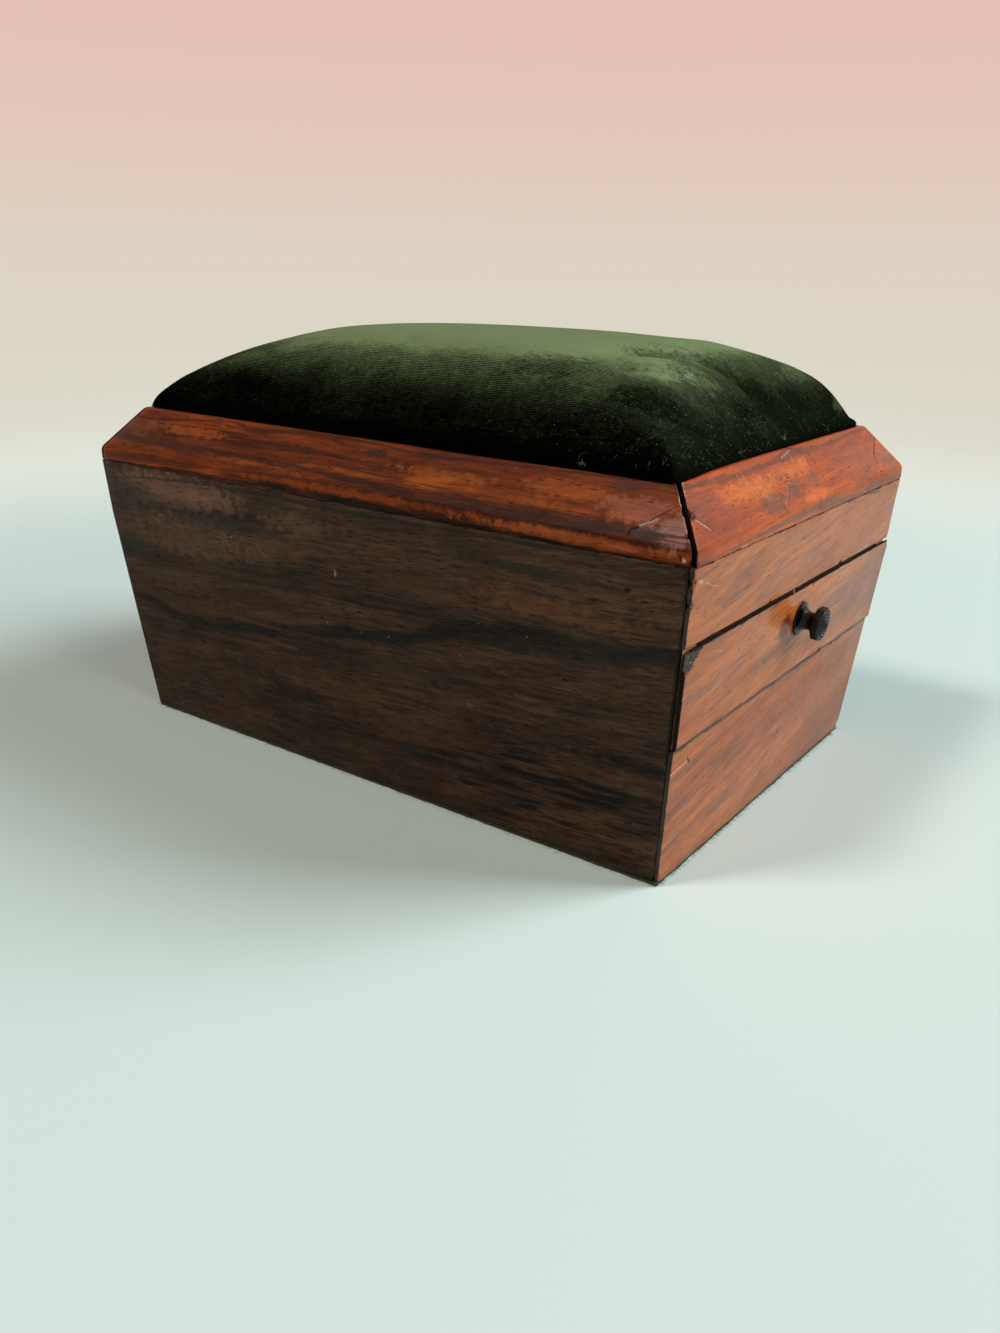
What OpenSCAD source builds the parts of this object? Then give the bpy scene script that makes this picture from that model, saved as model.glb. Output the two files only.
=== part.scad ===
// Weighted pincushion box: a veneered box that narrows towards its base, with a velvet
// cushion in a mitred rim, one small drawer in an end and a lead slab in the bottom.
// Millimetres. +Z is up and z = 0 is the underside of the felt, at the middle of the base.
// The drawer end faces +X. Left and right are as seen when facing the drawer.

/* [Carcass] */
// Length of the carcass at the joint under the rim
body_len = 180; // [160:2:220]
// Width of the carcass at the joint under the rim
body_wid = 125; // [110:1:150]
// Height of the carcass, from the felt to the joint under the rim
body_h = 72.5; // [68:0.5:90]
// How far each end leans in between the joint and the base
end_lean = 6.3; // [2:0.1:9]
// How far each long side leans in between the joint and the base
side_lean = 7.5; // [2:0.1:10]
// Thickness of the side walls, the back end and the front rails
wall_t = 6; // [5:0.5:8]
// Thickness of the rosewood veneer
veneer_t = 0.9; // [0.6:0.1:1.2]
// Thickness of the baize under the base
felt_t = 0.8; // [0.5:0.1:1.5]
// How far the baize stops short of the base's edge
felt_inset = 0.3; // [0:0.1:2]

/* [Boards inside] */
// Thickness of the base board
base_t = 5; // [4:0.5:7]
// Thickness of the dust board that the drawer runs on
dust_t = 4; // [3:0.5:5]
// Thickness of the top board over the drawer
top_t = 4; // [3:0.5:5]
// Depth of the housings that the boards sit in
housing = 2; // [1:0.5:3]
// Height of the band below the drawer, from the felt up
low_band_h = 33.1; // [30:0.1:40]

/* [Weight] */
// Space between the battens and the walls at each end of the box
end_room = 7; // [2:0.5:12]
// Space between the battens and the walls along each long side
side_room = 4.5; // [2:0.5:10]
// Thickness of the lead slab
lead_t = 16; // [10:1:18]
// Corner radius of the lead slab
lead_r = 5; // [2:1:10]
// Width of the battens that frame the slab
batten_w = 6; // [4:0.5:8]
// Height of the battens that frame the slab
batten_h = 9; // [6:0.5:10]
// Clearance round the slab and above the battens
weight_gap = 0.3; // [0.2:0.1:0.6]

/* [Rim] */
// Height of the rim above the joint
rim_h = 14; // [10:0.2:18]
// Height of the upright edge at the foot of the rim
rim_edge = 2.3; // [0.6:0.1:4]
// Radius between the upright edge and the rim's slope
rim_foot_r = 2.8; // [1:0.2:3.6]
// How far in the rim's slope ends
rim_run = 9.6; // [7:0.2:12]
// Radius between the rim's slope and its flat top
rim_top_r = 1.5; // [0.5:0.1:2]
// Width of the flat at the top of the rim
rim_land = 0.8; // [0.6:0.1:3]
// Gap in the three sound mitres
mitre_gap = 0.15; // [0.05:0.05:0.3]
// Gap in the mitre that has opened, at the front left corner
open_mitre = 0.9; // [0.2:0.1:1.5]

/* [Cushion] */
// Height of the cushion's upright flank above the rim
flank_h = 3.5; // [2:0.1:8]
// Height of the crown above the flank
crown_h = 18.3; // [10:0.1:24]
// How far out the crown stays full: more keeps it level nearer to the edge
crown_fullness = 6.05; // [4:0.05:8]
// How sharply the flank turns in to the crown: more makes a tighter shoulder
shoulder = 60; // [20:5:90]
// How far the flanks draw in between the corners
drawn_in = 0.5; // [0:0.1:1.5]
// Thickness of the velvet with its calico backing
velvet_t = 1.2; // [0.8:0.1:2]
// Width of the velvet turned under the pad board
hem_w = 10; // [8:1:16]
// Thickness of the pad board
pad_board_t = 4; // [4:0.5:6]
// Clearance between the cushion and the rim, and between the velvet and its filling
cloth_gap = 0.3; // [0.2:0.1:0.6]
// Tacks along each long side of the pad board
long_tacks = 5; // [3:1:8]
// Tacks along each short side of the pad board
short_tacks = 3; // [2:1:5]

/* [Drawer] */
// Height of the drawer's opening
drawer_h = 22.9; // [20:0.1:24]
// Gap above and below the drawer's veneered face
reveal = 0.6; // [0.4:0.1:1]
// How far the drawer's face stands proud of the carcass
drawer_proud = 0.6; // [0.4:0.1:0.9]
// Running clearance at each side of the drawer
side_play = 0.35; // [0.3:0.05:0.6]
// Running clearance under the drawer
floor_play = 0.15; // [0.1:0.05:0.3]
// Thickness of the drawer's front board
drawer_front_t = 6; // [5:0.5:8]
// Thickness of the drawer's sides
drawer_side_t = 3.2; // [2.5:0.1:4]
// Thickness of the drawer's back
drawer_back_t = 3.2; // [2.5:0.1:4]
// Thickness of the drawer's bottom
drawer_bottom_t = 2; // [1.5:0.1:3]
// Depth of the rebates that take the drawer's sides and bottom
drawer_rebate = 1.6; // [1:0.1:2]
// Thickness of the lining paper
paper_t = 0.3; // [0.2:0.05:0.5]
// Length of the blocks that stop the drawer
stop_len = 4; // [3:0.5:8]
// Width of the blocks that stop the drawer
stop_wid = 14; // [8:1:20]
// Height of the blocks that stop the drawer
stop_h = 9; // [6:1:14]
// Gap between the closed drawer and its stops
stop_gap = 0.3; // [0.2:0.1:0.5]

/* [Knob] */
// Diameter of the knob's flange
flange_d = 8.2; // [7:0.1:10]
// Thickness of the knob's flange
flange_t = 0.5; // [0.4:0.1:1]
// Diameter of the knob's neck
neck_d = 4.1; // [3.6:0.1:5]
// Diameter of the knob's head
head_d = 8.3; // [7:0.1:10]
// Thickness of the knob's head at its edge
head_t = 1.3; // [0.8:0.1:2]
// How far the knob stands out from the drawer
knob_out = 7.1; // [6.8:0.1:9]
// Diameter of the knob's spigot
spigot_d = 3.2; // [2.5:0.1:3.4]
// Height of the knob above the middle of the drawer
knob_up = 3; // [-3:0.5:3]

/* [Brads and tacks] */
// Diameter of the carcass brads
brad_d = 1; // [0.8:0.1:1.4]
// Length of the carcass brads
brad_len = 14; // [11:1:16]
// Diameter of the brads' heads
brad_head_d = 2; // [1.8:0.1:2.6]
// Thickness of the brads' heads
brad_head_t = 0.5; // [0.4:0.1:0.8]
// Diameter of the drawer's pins
pin_d = 0.8; // [0.6:0.1:1]
// Length of the drawer's pins
pin_len = 8; // [6:1:10]
// Diameter of the velvet tacks' heads
tack_head_d = 4.4; // [3:0.2:6]
// Thickness of the velvet tacks' heads
tack_head_t = 0.6; // [0.4:0.1:1]
// Diameter of the velvet tacks' shanks
tack_d = 1.2; // [0.8:0.1:1.6]
// Depth that the velvet tacks reach into the pad board
tack_bite = 3; // [2:0.5:3.5]

/* [Hidden] */
$fn = 64;

// Heights
z_wood = felt_t;
z_joint = z_wood + body_h;
z_rim = z_joint + rim_h;
z_base_top = z_wood + base_t;
z_drawer = z_wood + low_band_h;
z_dust_low = z_drawer - dust_t;
z_ceiling = z_drawer + drawer_h;
z_top_board = z_ceiling + top_t;
z_drawer_low = z_drawer + floor_play;
z_drawer_floor = z_drawer_low + drawer_bottom_t;
z_drawer_top = z_ceiling - reveal;
z_knob = z_drawer + drawer_h / 2 + knob_up;
z_hem = z_top_board + tack_head_t;
z_pad_low = z_hem + velvet_t;
z_pad_top = z_pad_low + pad_board_t;
z_lead_top = z_base_top + lead_t;

// The carcass's outer skin at any height
end_slope = end_lean / body_h;
side_slope = side_lean / body_h;
end_tilt = atan(end_slope);
function half_len(z) = body_len / 2 - end_slope * (z_joint - z);
function half_wid(z) = body_wid / 2 - side_slope * (z_joint - z);

// Insets from the outer skin, level with the base
inside = veneer_t + wall_t;
housed = inside - housing;
drawer_side_in = inside + side_play;
drawer_bottom_in = drawer_side_in + drawer_rebate;
drawer_room_in = drawer_side_in + drawer_side_t;
drawer_face_in = -drawer_proud;
drawer_board_in = drawer_face_in + veneer_t;
drawer_front_in = drawer_board_in + drawer_front_t;
drawer_lap_in = drawer_front_in - drawer_side_t;
drawer_groove_in = drawer_front_in - drawer_rebate;
drawer_back_x = -half_len(z_drawer) + inside + stop_len + stop_gap;

// The lead slab fills the well between its battens
lead_len = 2 * (half_len(z_base_top) - inside - end_room - batten_w - weight_gap);
lead_wid = 2 * (half_wid(z_base_top) - inside - side_room - batten_w - weight_gap);

// Heights of the brads, and of the drawer's pins above its floor and below its top edge
low_brad_up = 6;
mid_brad_down = 5;
z_low_brad = z_base_top + low_brad_up;
z_mid_brad = z_dust_low - mid_brad_down;
z_top_brad = (z_top_board + z_joint) / 2;
z_back_brad = z_drawer + drawer_h / 2;
pin_edge = 4;

// A brad's head and a pin's end lie this far under the wood, and their holes cut on past it
head_gap = 0.05;
cut_out = 1;

// Half sizes of the cushion where it drops into the rim
rim_w = rim_run + rim_land;
pad_half_len = body_len / 2 - rim_w - cloth_gap;
pad_half_wid = body_wid / 2 - rim_w - cloth_gap;
filling_in = velvet_t + cloth_gap;

// The cushion's outline is a squared oval: more points near its corners, and the nearer
// a ring lies to the edge the squarer it is
corner_steps = 6;
corner_crowding = 1.8;
crown_squareness = 2.4;
edge_squareness = 90;
squaring = 15;
crown_fall = 1.4;
dome_shares = [0.34, 0.56, 0.73, 0.85, 0.92, 0.965, 0.99];

// The knob's turning
spigot_gap = 0.05;
flange_edge = 0.5;
head_lip = 0.3;
head_neck = 0.4;
head_dome = 0.9;
head_rings = 3;
ring_step = 0.25;
cove_steps = 6;

rosewood = "#6b3620";
dark_rosewood = "#4a2e22";
bright_rosewood = "#8a3c1c";
pine = "#c9a877";
mahogany = "#8b5a3a";
iron = "#4a4a4a";

// A slab of the tapered carcass with level faces, set in from its back, front and sides
module tapered_slab(z0, z1, back_in, front_in, side_in) {
    intersection() {
        long_slice(z0, z1, -half_len(z0) + back_in, -half_len(z1) + back_in, front_in);
        cross_slice(z0, z1, side_in);
    }
}

// Everything between a back line and the leaning front, as wide as the box and more
module long_slice(z0, z1, back_x0, back_x1, front_in) {
    rotate([90, 0, 0])
        linear_extrude(height = 2 * body_wid, center = true)
            polygon([[back_x0, z0], [half_len(z0) - front_in, z0],
                [half_len(z1) - front_in, z1], [back_x1, z1]]);
}

// Everything between the two leaning sides, as long as the box and more
module cross_slice(z0, z1, side_in) {
    rotate([90, 0, 90])
        linear_extrude(height = 2 * body_len, center = true)
            polygon([[-half_wid(z0) + side_in, z0], [half_wid(z0) - side_in, z0],
                [half_wid(z1) - side_in, z1], [-half_wid(z1) + side_in, z1]]);
}

// A plank that leans with a long side; side is -1 for the left and 1 for the right
module side_plank(side, z0, z1, outer_in, inner_in) {
    rotate([90, 0, 90])
        linear_extrude(height = 2 * body_len, center = true)
            polygon([[side * (half_wid(z0) - outer_in), z0], [side * (half_wid(z0) - inner_in), z0],
                [side * (half_wid(z1) - inner_in), z1], [side * (half_wid(z1) - outer_in), z1]]);
}

// A plank that leans with an end; end is -1 for the back and 1 for the front
module end_plank(end, z0, z1, outer_in, inner_in) {
    rotate([90, 0, 0])
        linear_extrude(height = 2 * body_wid, center = true)
            polygon([[end * (half_len(z0) - outer_in), z0], [end * (half_len(z0) - inner_in), z0],
                [end * (half_len(z1) - inner_in), z1], [end * (half_len(z1) - outer_in), z1]]);
}

// A level plate with round corners, its underside at z = 0
module rounded_plate(len, wid, r, t) {
    linear_extrude(height = t) {
        square([len - 2 * r, wid], center = true);
        square([len, wid - 2 * r], center = true);
        for (x = [-1, 1], y = [-1, 1])
            translate([x * (len / 2 - r), y * (wid / 2 - r)])
                circle(r);
    }
}

// The three boards that are housed in the walls
module base_board_shape() {
    tapered_slab(z_wood, z_base_top, housed, housed, housed);
}

module dust_board_shape() {
    tapered_slab(z_dust_low, z_drawer, housed, inside, housed);
}

module top_board_shape() {
    tapered_slab(z_ceiling, z_top_board, housed, inside, housed);
}

// A brad through a side wall into the back end or a front rail, its head just under the
// veneer. As a hole it is longer by what it cuts beyond the head.
module brad(side, end, z, beyond) {
    sunk = side_slope * brad_head_d / 2 + head_gap;
    x = end * (half_len(z) - veneer_t - wall_t / 2);
    y = side * (half_wid(z) - veneer_t - sunk);
    translate([x, y, z])
        rotate([side * 90, 0, 0]) {
            cylinder(h = brad_len, d = brad_d);
            translate([0, 0, -beyond])
                cylinder(h = brad_head_t + beyond, d = brad_head_d);
        }
}

module brads(side, beyond = 0) {
    for (z = [z_low_brad, z_mid_brad, z_top_brad])
        brad(side, 1, z, beyond);
    for (z = [z_low_brad, z_back_brad, z_top_brad])
        brad(side, -1, z, beyond);
}

module base_felt() {
    color("#243a2a")
        linear_extrude(height = felt_t)
            square([2 * (half_len(z_wood) - felt_inset), 2 * (half_wid(z_wood) - felt_inset)],
                center = true);
}

module base_board() {
    color(pine)
        base_board_shape();
}

module side_wall(side) {
    color(pine)
        difference() {
            intersection() {
                side_plank(side, z_wood, z_joint, veneer_t, inside);
                long_slice(z_wood, z_joint, -half_len(z_wood) + veneer_t,
                    -half_len(z_joint) + veneer_t, veneer_t);
            }
            base_board_shape();
            dust_board_shape();
            top_board_shape();
            brads(side, cut_out);
        }
}

module left_side() {
    side_wall(-1);
}

module right_side() {
    side_wall(1);
}

module back_end() {
    color(pine)
        difference() {
            intersection() {
                end_plank(-1, z_wood, z_joint, veneer_t, inside);
                cross_slice(z_wood, z_joint, inside);
            }
            base_board_shape();
            dust_board_shape();
            top_board_shape();
            brads(-1);
            brads(1);
        }
}

// A front rail between the side walls, over or under the drawer
module front_rail(z0, z1) {
    color(pine)
        difference() {
            intersection() {
                end_plank(1, z0, z1, veneer_t, inside);
                cross_slice(z0, z1, inside);
            }
            base_board_shape();
            brads(-1);
            brads(1);
        }
}

module front_top_rail() {
    front_rail(z_ceiling, z_joint);
}

module front_bottom_rail() {
    front_rail(z_wood, z_drawer);
}

module dust_board() {
    color(pine)
        dust_board_shape();
}

module top_board() {
    color(pine)
        top_board_shape();
}

module lead_weight() {
    color("#6f7378")
        translate([0, 0, z_base_top])
            rounded_plate(lead_len, lead_wid, lead_r, lead_t);
}

// Two battens along the slab's long sides and two shorter ones across its ends
module weight_battens() {
    to_middle = weight_gap + batten_w / 2;
    long_x = lead_len + 2 * (weight_gap + batten_w);
    color(pine)
        translate([0, 0, z_base_top + batten_h / 2])
            for (s = [-1, 1]) {
                translate([0, s * (lead_wid / 2 + to_middle), 0])
                    cube([long_x, batten_w, batten_h], center = true);
                translate([s * (lead_len / 2 + to_middle), 0, 0])
                    cube([batten_w, lead_wid, batten_h], center = true);
            }
}

module weight_packing() {
    pack_in = inside + weight_gap;
    color("#b9ad96")
        tapered_slab(z_lead_top + weight_gap, z_dust_low - weight_gap,
            pack_in, pack_in, pack_in);
}

// Two blocks on the back end that the drawer's back meets
module drawer_stops() {
    color(pine)
        intersection() {
            for (s = [-1, 1])
                translate([drawer_back_x - stop_gap - 2 * stop_len,
                        s * half_wid(z_drawer) / 2 - stop_wid / 2, z_drawer])
                    cube([2 * stop_len, stop_wid, stop_h]);
            tapered_slab(z_drawer, z_ceiling, inside, inside, inside);
        }
}

module carcass_brads() {
    color(iron) {
        brads(-1);
        brads(1);
    }
}

module side_veneer(side) {
    color(dark_rosewood)
        intersection() {
            side_plank(side, z_wood, z_joint, 0, veneer_t);
            long_slice(z_wood, z_joint, -half_len(z_wood) + veneer_t,
                -half_len(z_joint) + veneer_t, veneer_t);
        }
}

module left_veneer() {
    side_veneer(-1);
}

module right_veneer() {
    side_veneer(1);
}

// Veneer across an end, over the ends of the side walls and out to the arrises
module end_veneer(end, z0, z1) {
    color(rosewood)
        intersection() {
            end_plank(end, z0, z1, 0, veneer_t);
            cross_slice(z0, z1, 0);
        }
}

module back_veneer() {
    end_veneer(-1, z_wood, z_joint);
}

module front_top_veneer() {
    end_veneer(1, z_ceiling, z_joint);
}

module front_bottom_veneer() {
    end_veneer(1, z_wood, z_drawer);
}

// The rim's section: an upright edge, rounded into a slope that is rounded into a flat top.
// The slope is the line that both arcs touch.
module rim_section() {
    foot = [rim_foot_r, rim_edge];
    top = [rim_run, rim_h - rim_top_r];
    way = top - foot;
    facing = atan2(way[1], way[0]) + 90 - asin((rim_foot_r - rim_top_r) / norm(way));
    out = [cos(facing), sin(facing)];
    intersection() {
        square([rim_w, rim_h]);
        union() {
            translate(foot)
                circle(rim_foot_r);
            translate(top)
                circle(rim_top_r);
            polygon([[0, 0], [rim_w, 0], [rim_w, rim_h], [rim_run, rim_h], top,
                top + rim_top_r * out, foot + rim_foot_r * out, foot, [0, rim_edge]]);
        }
    }
}

// A length of rim moulding along +X, its outer edge on y = 0, mitred at both ends
module rim_piece(len, start_gap, end_gap) {
    start_cut = start_gap * sqrt(0.5);
    end_cut = end_gap * sqrt(0.5);
    color(bright_rosewood)
        intersection() {
            rotate([90, 0, 90])
                linear_extrude(height = len)
                    rim_section();
            linear_extrude(height = rim_h)
                polygon([[start_cut, 0], [len - end_cut, 0],
                    [len - rim_w - end_cut, rim_w], [rim_w + start_cut, rim_w]]);
        }
}

module rim_left() {
    translate([-body_len / 2, -body_wid / 2, z_joint])
        rim_piece(body_len, mitre_gap, open_mitre);
}

module rim_front() {
    translate([body_len / 2, -body_wid / 2, z_joint])
        rotate([0, 0, 90])
            rim_piece(body_wid, open_mitre, mitre_gap);
}

module rim_right() {
    translate([body_len / 2, body_wid / 2, z_joint])
        rotate([0, 0, 180])
            rim_piece(body_len, mitre_gap, mitre_gap);
}

module rim_back() {
    translate([-body_len / 2, body_wid / 2, z_joint])
        rotate([0, 0, 270])
            rim_piece(body_wid, mitre_gap, mitre_gap);
}

// Headings of a ring's points round each quarter, k counted from the quarter's corner
function heading(k) = 45 + 45 * sign(k) * pow(abs(k) / corner_steps, corner_crowding);
headings = [for (q = [0:3], k = [-corner_steps:corner_steps - 1]) 90 * q + heading(k)];

// How square the ring is at share s of the way out, and its reach at heading a
function squareness(s) =
    crown_squareness + (edge_squareness - crown_squareness) * pow(s, squaring);
function reach(a, n) = pow(pow(abs(cos(a)), n) + pow(abs(sin(a)), n), -1 / n);

// How far the flank has drawn in at a heading, as a share: none at the corners
function pull(a) = 1 - drawn_in / pad_half_wid * pow(cos(2 * a), 2);

function ring(s, inset, z, pulled = false) = [for (a = headings)
    let (r = s * reach(a, squareness(s)) * (pulled ? pull(a) : 1))
    [(pad_half_len - inset) * r * cos(a), (pad_half_wid - inset) * r * sin(a), z]];

// Height of the cushion above the rim at share s of the way out
function rise(s) = flank_h * sqrt(1 - pow(s, shoulder))
    + crown_h * pow(1 - pow(s, crown_fullness), crown_fall);
function dome_rings(inset) =
    [for (s = dome_shares) ring(s, inset, z_rim + rise(s) - inset, true)];
function crown_top(inset) = [0, 0, z_rim + rise(0) - inset];
function reversed(list) = [for (i = [len(list) - 1:-1:0]) list[i]];

// A closed skin through a stack of rings, with a point or a flat at each end of it.
// With two points given, the first closes the first ring and the second the last.
module ring_skin(rings, first_point, last_point) {
    n = len(rings[0]);
    m = len(rings);
    points = concat([for (r = rings) each r], [first_point, last_point]);
    bands = [for (i = [0:m - 2], k = [0:n - 1])
        let (a = i * n + k, b = i * n + (k + 1) % n)
        each [[a, b, b + n], [a, b + n, a + n]]];
    first_cap = [for (k = [0:n - 1]) [n * m, (k + 1) % n, k]];
    last_cap = [for (k = [0:n - 1])
        [n * m + 1, (m - 1) * n + k, (m - 1) * n + (k + 1) % n]];
    polyhedron(points = points, faces = concat(first_cap, bands, last_cap), convexity = 6);
}

module pad_board() {
    color(pine)
        difference() {
            translate([0, 0, z_pad_low])
                linear_extrude(height = pad_board_t)
                    polygon([for (p = ring(1, filling_in, 0)) [p[0], p[1]]]);
            tacks();
        }
}

module cushion_filling() {
    color("#d8ceb8")
        ring_skin(concat(dome_rings(filling_in), [ring(1, filling_in, z_rim),
            ring(1, filling_in, z_pad_top)]), crown_top(filling_in), [0, 0, z_pad_top]);
}

// The velvet goes over the crown, down inside the rim and under the pad board's edge
module velvet_cover() {
    outside = concat(dome_rings(0), [ring(1, 0, z_rim), ring(1, 0, z_hem),
        ring(1, hem_w, z_hem)]);
    lining = concat([ring(1, hem_w, z_pad_low), ring(1, velvet_t, z_pad_low),
        ring(1, velvet_t, z_rim)], reversed(dome_rings(velvet_t)));
    color("#1f3a26")
        ring_skin(concat(outside, lining), crown_top(0), crown_top(velvet_t));
}

// Tacks up through the hem into the pad board, heads down
module tack() {
    translate([0, 0, z_top_board])
        cylinder(h = tack_head_t, d = tack_head_d);
    translate([0, 0, z_top_board])
        cylinder(h = z_pad_low + tack_bite - z_top_board, d = tack_d);
}

module tacks() {
    long_y = pad_half_wid - hem_w / 2;
    short_x = pad_half_len - hem_w / 2;
    for (s = [-1, 1]) {
        for (i = [1:long_tacks])
            translate([short_x * (2 * i / (long_tacks + 1) - 1), s * long_y, 0])
                tack();
        for (i = [1:short_tacks])
            translate([s * short_x, long_y * (2 * i / (short_tacks + 1) - 1), 0])
                tack();
    }
}

module velvet_tacks() {
    color(iron)
        tacks();
}

// The drawer's length between its flat back and its leaning front
module drawer_slice(z0, z1, front_in, side_in) {
    intersection() {
        long_slice(z0, z1, drawer_back_x, drawer_back_x, front_in);
        cross_slice(z0, z1, side_in);
    }
}

module drawer_side_shape(side) {
    difference() {
        intersection() {
            side_plank(side, z_drawer_low, z_drawer_top, drawer_side_in, drawer_room_in);
            long_slice(z_drawer_low, z_drawer_top, drawer_back_x, drawer_back_x, drawer_lap_in);
        }
        drawer_bottom_shape();
    }
}

module drawer_bottom_shape() {
    drawer_slice(z_drawer_low, z_drawer_floor, drawer_groove_in, drawer_bottom_in);
}

// Pins through the drawer's sides into its front and back, their ends just below the wood.
// As holes they are longer by what they cut beyond that.
module pins(side, beyond = 0) {
    sunk = side_slope * pin_d / 2 + head_gap;
    for (z = [z_drawer_floor + pin_edge, z_drawer_top - pin_edge]) {
        front_x = half_len(z) - (drawer_lap_in + drawer_front_in) / 2;
        back_x = drawer_back_x + drawer_back_t / 2;
        for (x = [back_x, front_x])
            translate([x, side * (half_wid(z) - drawer_side_in - sunk), z])
                rotate([side * 90, 0, 0])
                    translate([0, 0, -beyond])
                        cylinder(h = pin_len + beyond, d = pin_d);
    }
}

// Places a child on the drawer's face with +Z straight out of it
module on_drawer_face() {
    translate([half_len(z_knob) - drawer_face_in, 0, z_knob])
        rotate([0, 90 + end_tilt, 0])
            children();
}

module spigot_hole() {
    deep = 2 * drawer_front_t;
    on_drawer_face()
        translate([0, 0, -deep])
            cylinder(h = deep + knob_out, d = spigot_d + 2 * spigot_gap);
}

module drawer_front() {
    color(mahogany)
        difference() {
            intersection() {
                end_plank(1, z_drawer_low, z_drawer_top, drawer_board_in, drawer_front_in);
                cross_slice(z_drawer_low, z_drawer_top, drawer_side_in);
            }
            drawer_side_shape(-1);
            drawer_side_shape(1);
            drawer_bottom_shape();
            spigot_hole();
            pins(-1);
            pins(1);
        }
}

// The drawer's veneer laps over the ends of the side walls, out to the arrises
module drawer_front_veneer() {
    color(rosewood)
        difference() {
            intersection() {
                end_plank(1, z_drawer + reveal, z_drawer_top, drawer_face_in, drawer_board_in);
                cross_slice(z_drawer + reveal, z_drawer_top, 0);
            }
            spigot_hole();
        }
}

module drawer_left_side() {
    color(mahogany)
        difference() {
            drawer_side_shape(-1);
            pins(-1, cut_out);
        }
}

module drawer_right_side() {
    color(mahogany)
        difference() {
            drawer_side_shape(1);
            pins(1, cut_out);
        }
}

module drawer_back() {
    color(mahogany)
        difference() {
            intersection() {
                cross_slice(z_drawer_floor, z_drawer_top, drawer_room_in);
                translate([drawer_back_x, -body_wid / 2, z_drawer_floor])
                    cube([drawer_back_t, body_wid, drawer_h]);
            }
            pins(-1);
            pins(1);
        }
}

module drawer_bottom() {
    color(mahogany)
        drawer_bottom_shape();
}

// Lining paper, cut a little smaller than the drawer's floor
module drawer_lining() {
    edge = paper_t;
    back_x = drawer_back_x + drawer_back_t + edge;
    color("#c98f8a")
        intersection() {
            long_slice(z_drawer_floor, z_drawer_floor + paper_t, back_x, back_x,
                drawer_front_in + edge);
            cross_slice(z_drawer_floor, z_drawer_floor + paper_t, drawer_room_in + edge);
        }
}

module drawer_pins() {
    color(iron) {
        pins(-1);
        pins(1);
    }
}

// A turned knob: spigot, thin flange, waisted neck and a ringed, slightly domed head
module drawer_knob() {
    neck_r = neck_d / 2;
    flange_r = flange_d / 2;
    head_r = head_d / 2;
    spigot_r = spigot_d / 2;
    spigot_end = -veneer_t - drawer_front_t;
    head_z = knob_out - head_dome - head_t;
    cove_top = head_z - head_neck;
    waist = (flange_t + cove_top) / 2;
    flange_cove = waist - flange_t;
    head_cove = cove_top - waist;
    lower_cove = [for (i = [0:cove_steps])
        let (a = 90 * i / cove_steps)
        [neck_r + (flange_r - flange_edge - neck_r) * (1 - sin(a)),
            waist - flange_cove * cos(a)]];
    upper_cove = [for (i = [1:cove_steps])
        let (a = 90 * i / cove_steps)
        [neck_r + (head_r - head_lip - neck_r) * (1 - cos(a)), waist + head_cove * sin(a)]];
    rings = [for (i = [1:head_rings])
        let (r = head_r * (1 - i / (head_rings + 1)),
            z = knob_out - head_dome * pow(r / head_r, 2))
        each [[r + ring_step, z - ring_step], [r, z - ring_step], [r, z]]];
    color("#16120f")
        on_drawer_face()
            rotate_extrude()
                polygon(concat(
                    [[0, spigot_end], [spigot_r, spigot_end], [spigot_r, spigot_gap],
                        [flange_r, spigot_gap], [flange_r, flange_t]],
                    lower_cove, upper_cove,
                    [[head_r, head_z], [head_r, head_z + head_t]],
                    rings, [[0, knob_out]]));
}

base_felt();
base_board();
left_side();
right_side();
back_end();
front_top_rail();
front_bottom_rail();
dust_board();
top_board();
lead_weight();
weight_battens();
weight_packing();
drawer_stops();
carcass_brads();
left_veneer();
right_veneer();
back_veneer();
front_top_veneer();
front_bottom_veneer();
rim_left();
rim_right();
rim_front();
rim_back();
pad_board();
cushion_filling();
velvet_cover();
velvet_tacks();
drawer_front();
drawer_front_veneer();
drawer_left_side();
drawer_right_side();
drawer_back();
drawer_bottom();
drawer_lining();
drawer_pins();
drawer_knob();
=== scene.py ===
import math
import random

import bmesh
import bpy
from mathutils import Matrix, Vector, noise


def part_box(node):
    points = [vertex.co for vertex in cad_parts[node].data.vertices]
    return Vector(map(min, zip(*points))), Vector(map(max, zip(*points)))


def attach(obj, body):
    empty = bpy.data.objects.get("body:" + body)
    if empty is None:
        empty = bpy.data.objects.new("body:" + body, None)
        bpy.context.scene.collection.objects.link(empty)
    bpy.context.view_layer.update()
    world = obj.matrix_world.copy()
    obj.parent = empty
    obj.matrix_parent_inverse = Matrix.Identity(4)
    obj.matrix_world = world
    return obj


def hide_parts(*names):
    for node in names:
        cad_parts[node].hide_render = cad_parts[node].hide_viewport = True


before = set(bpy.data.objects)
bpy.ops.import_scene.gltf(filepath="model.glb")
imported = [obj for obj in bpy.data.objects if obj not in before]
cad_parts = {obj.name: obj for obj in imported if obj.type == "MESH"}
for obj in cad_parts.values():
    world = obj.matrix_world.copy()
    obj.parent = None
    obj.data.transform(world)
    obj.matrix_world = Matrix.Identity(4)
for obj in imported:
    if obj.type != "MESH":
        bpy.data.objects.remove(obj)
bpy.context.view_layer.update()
mm = 0.001
print("frame loaded:", len(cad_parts), "nodes")

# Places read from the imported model, in metres
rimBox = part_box("rim_left")
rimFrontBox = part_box("rim_front")
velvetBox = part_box("velvet_cover")
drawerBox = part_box("drawer_front_veneer")
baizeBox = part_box("base_felt")
jointHeight = rimBox[0].z
rimTop = rimBox[1].z
halfLength = rimBox[1].x
halfWidth = -rimBox[0].y


# Camera and light

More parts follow.
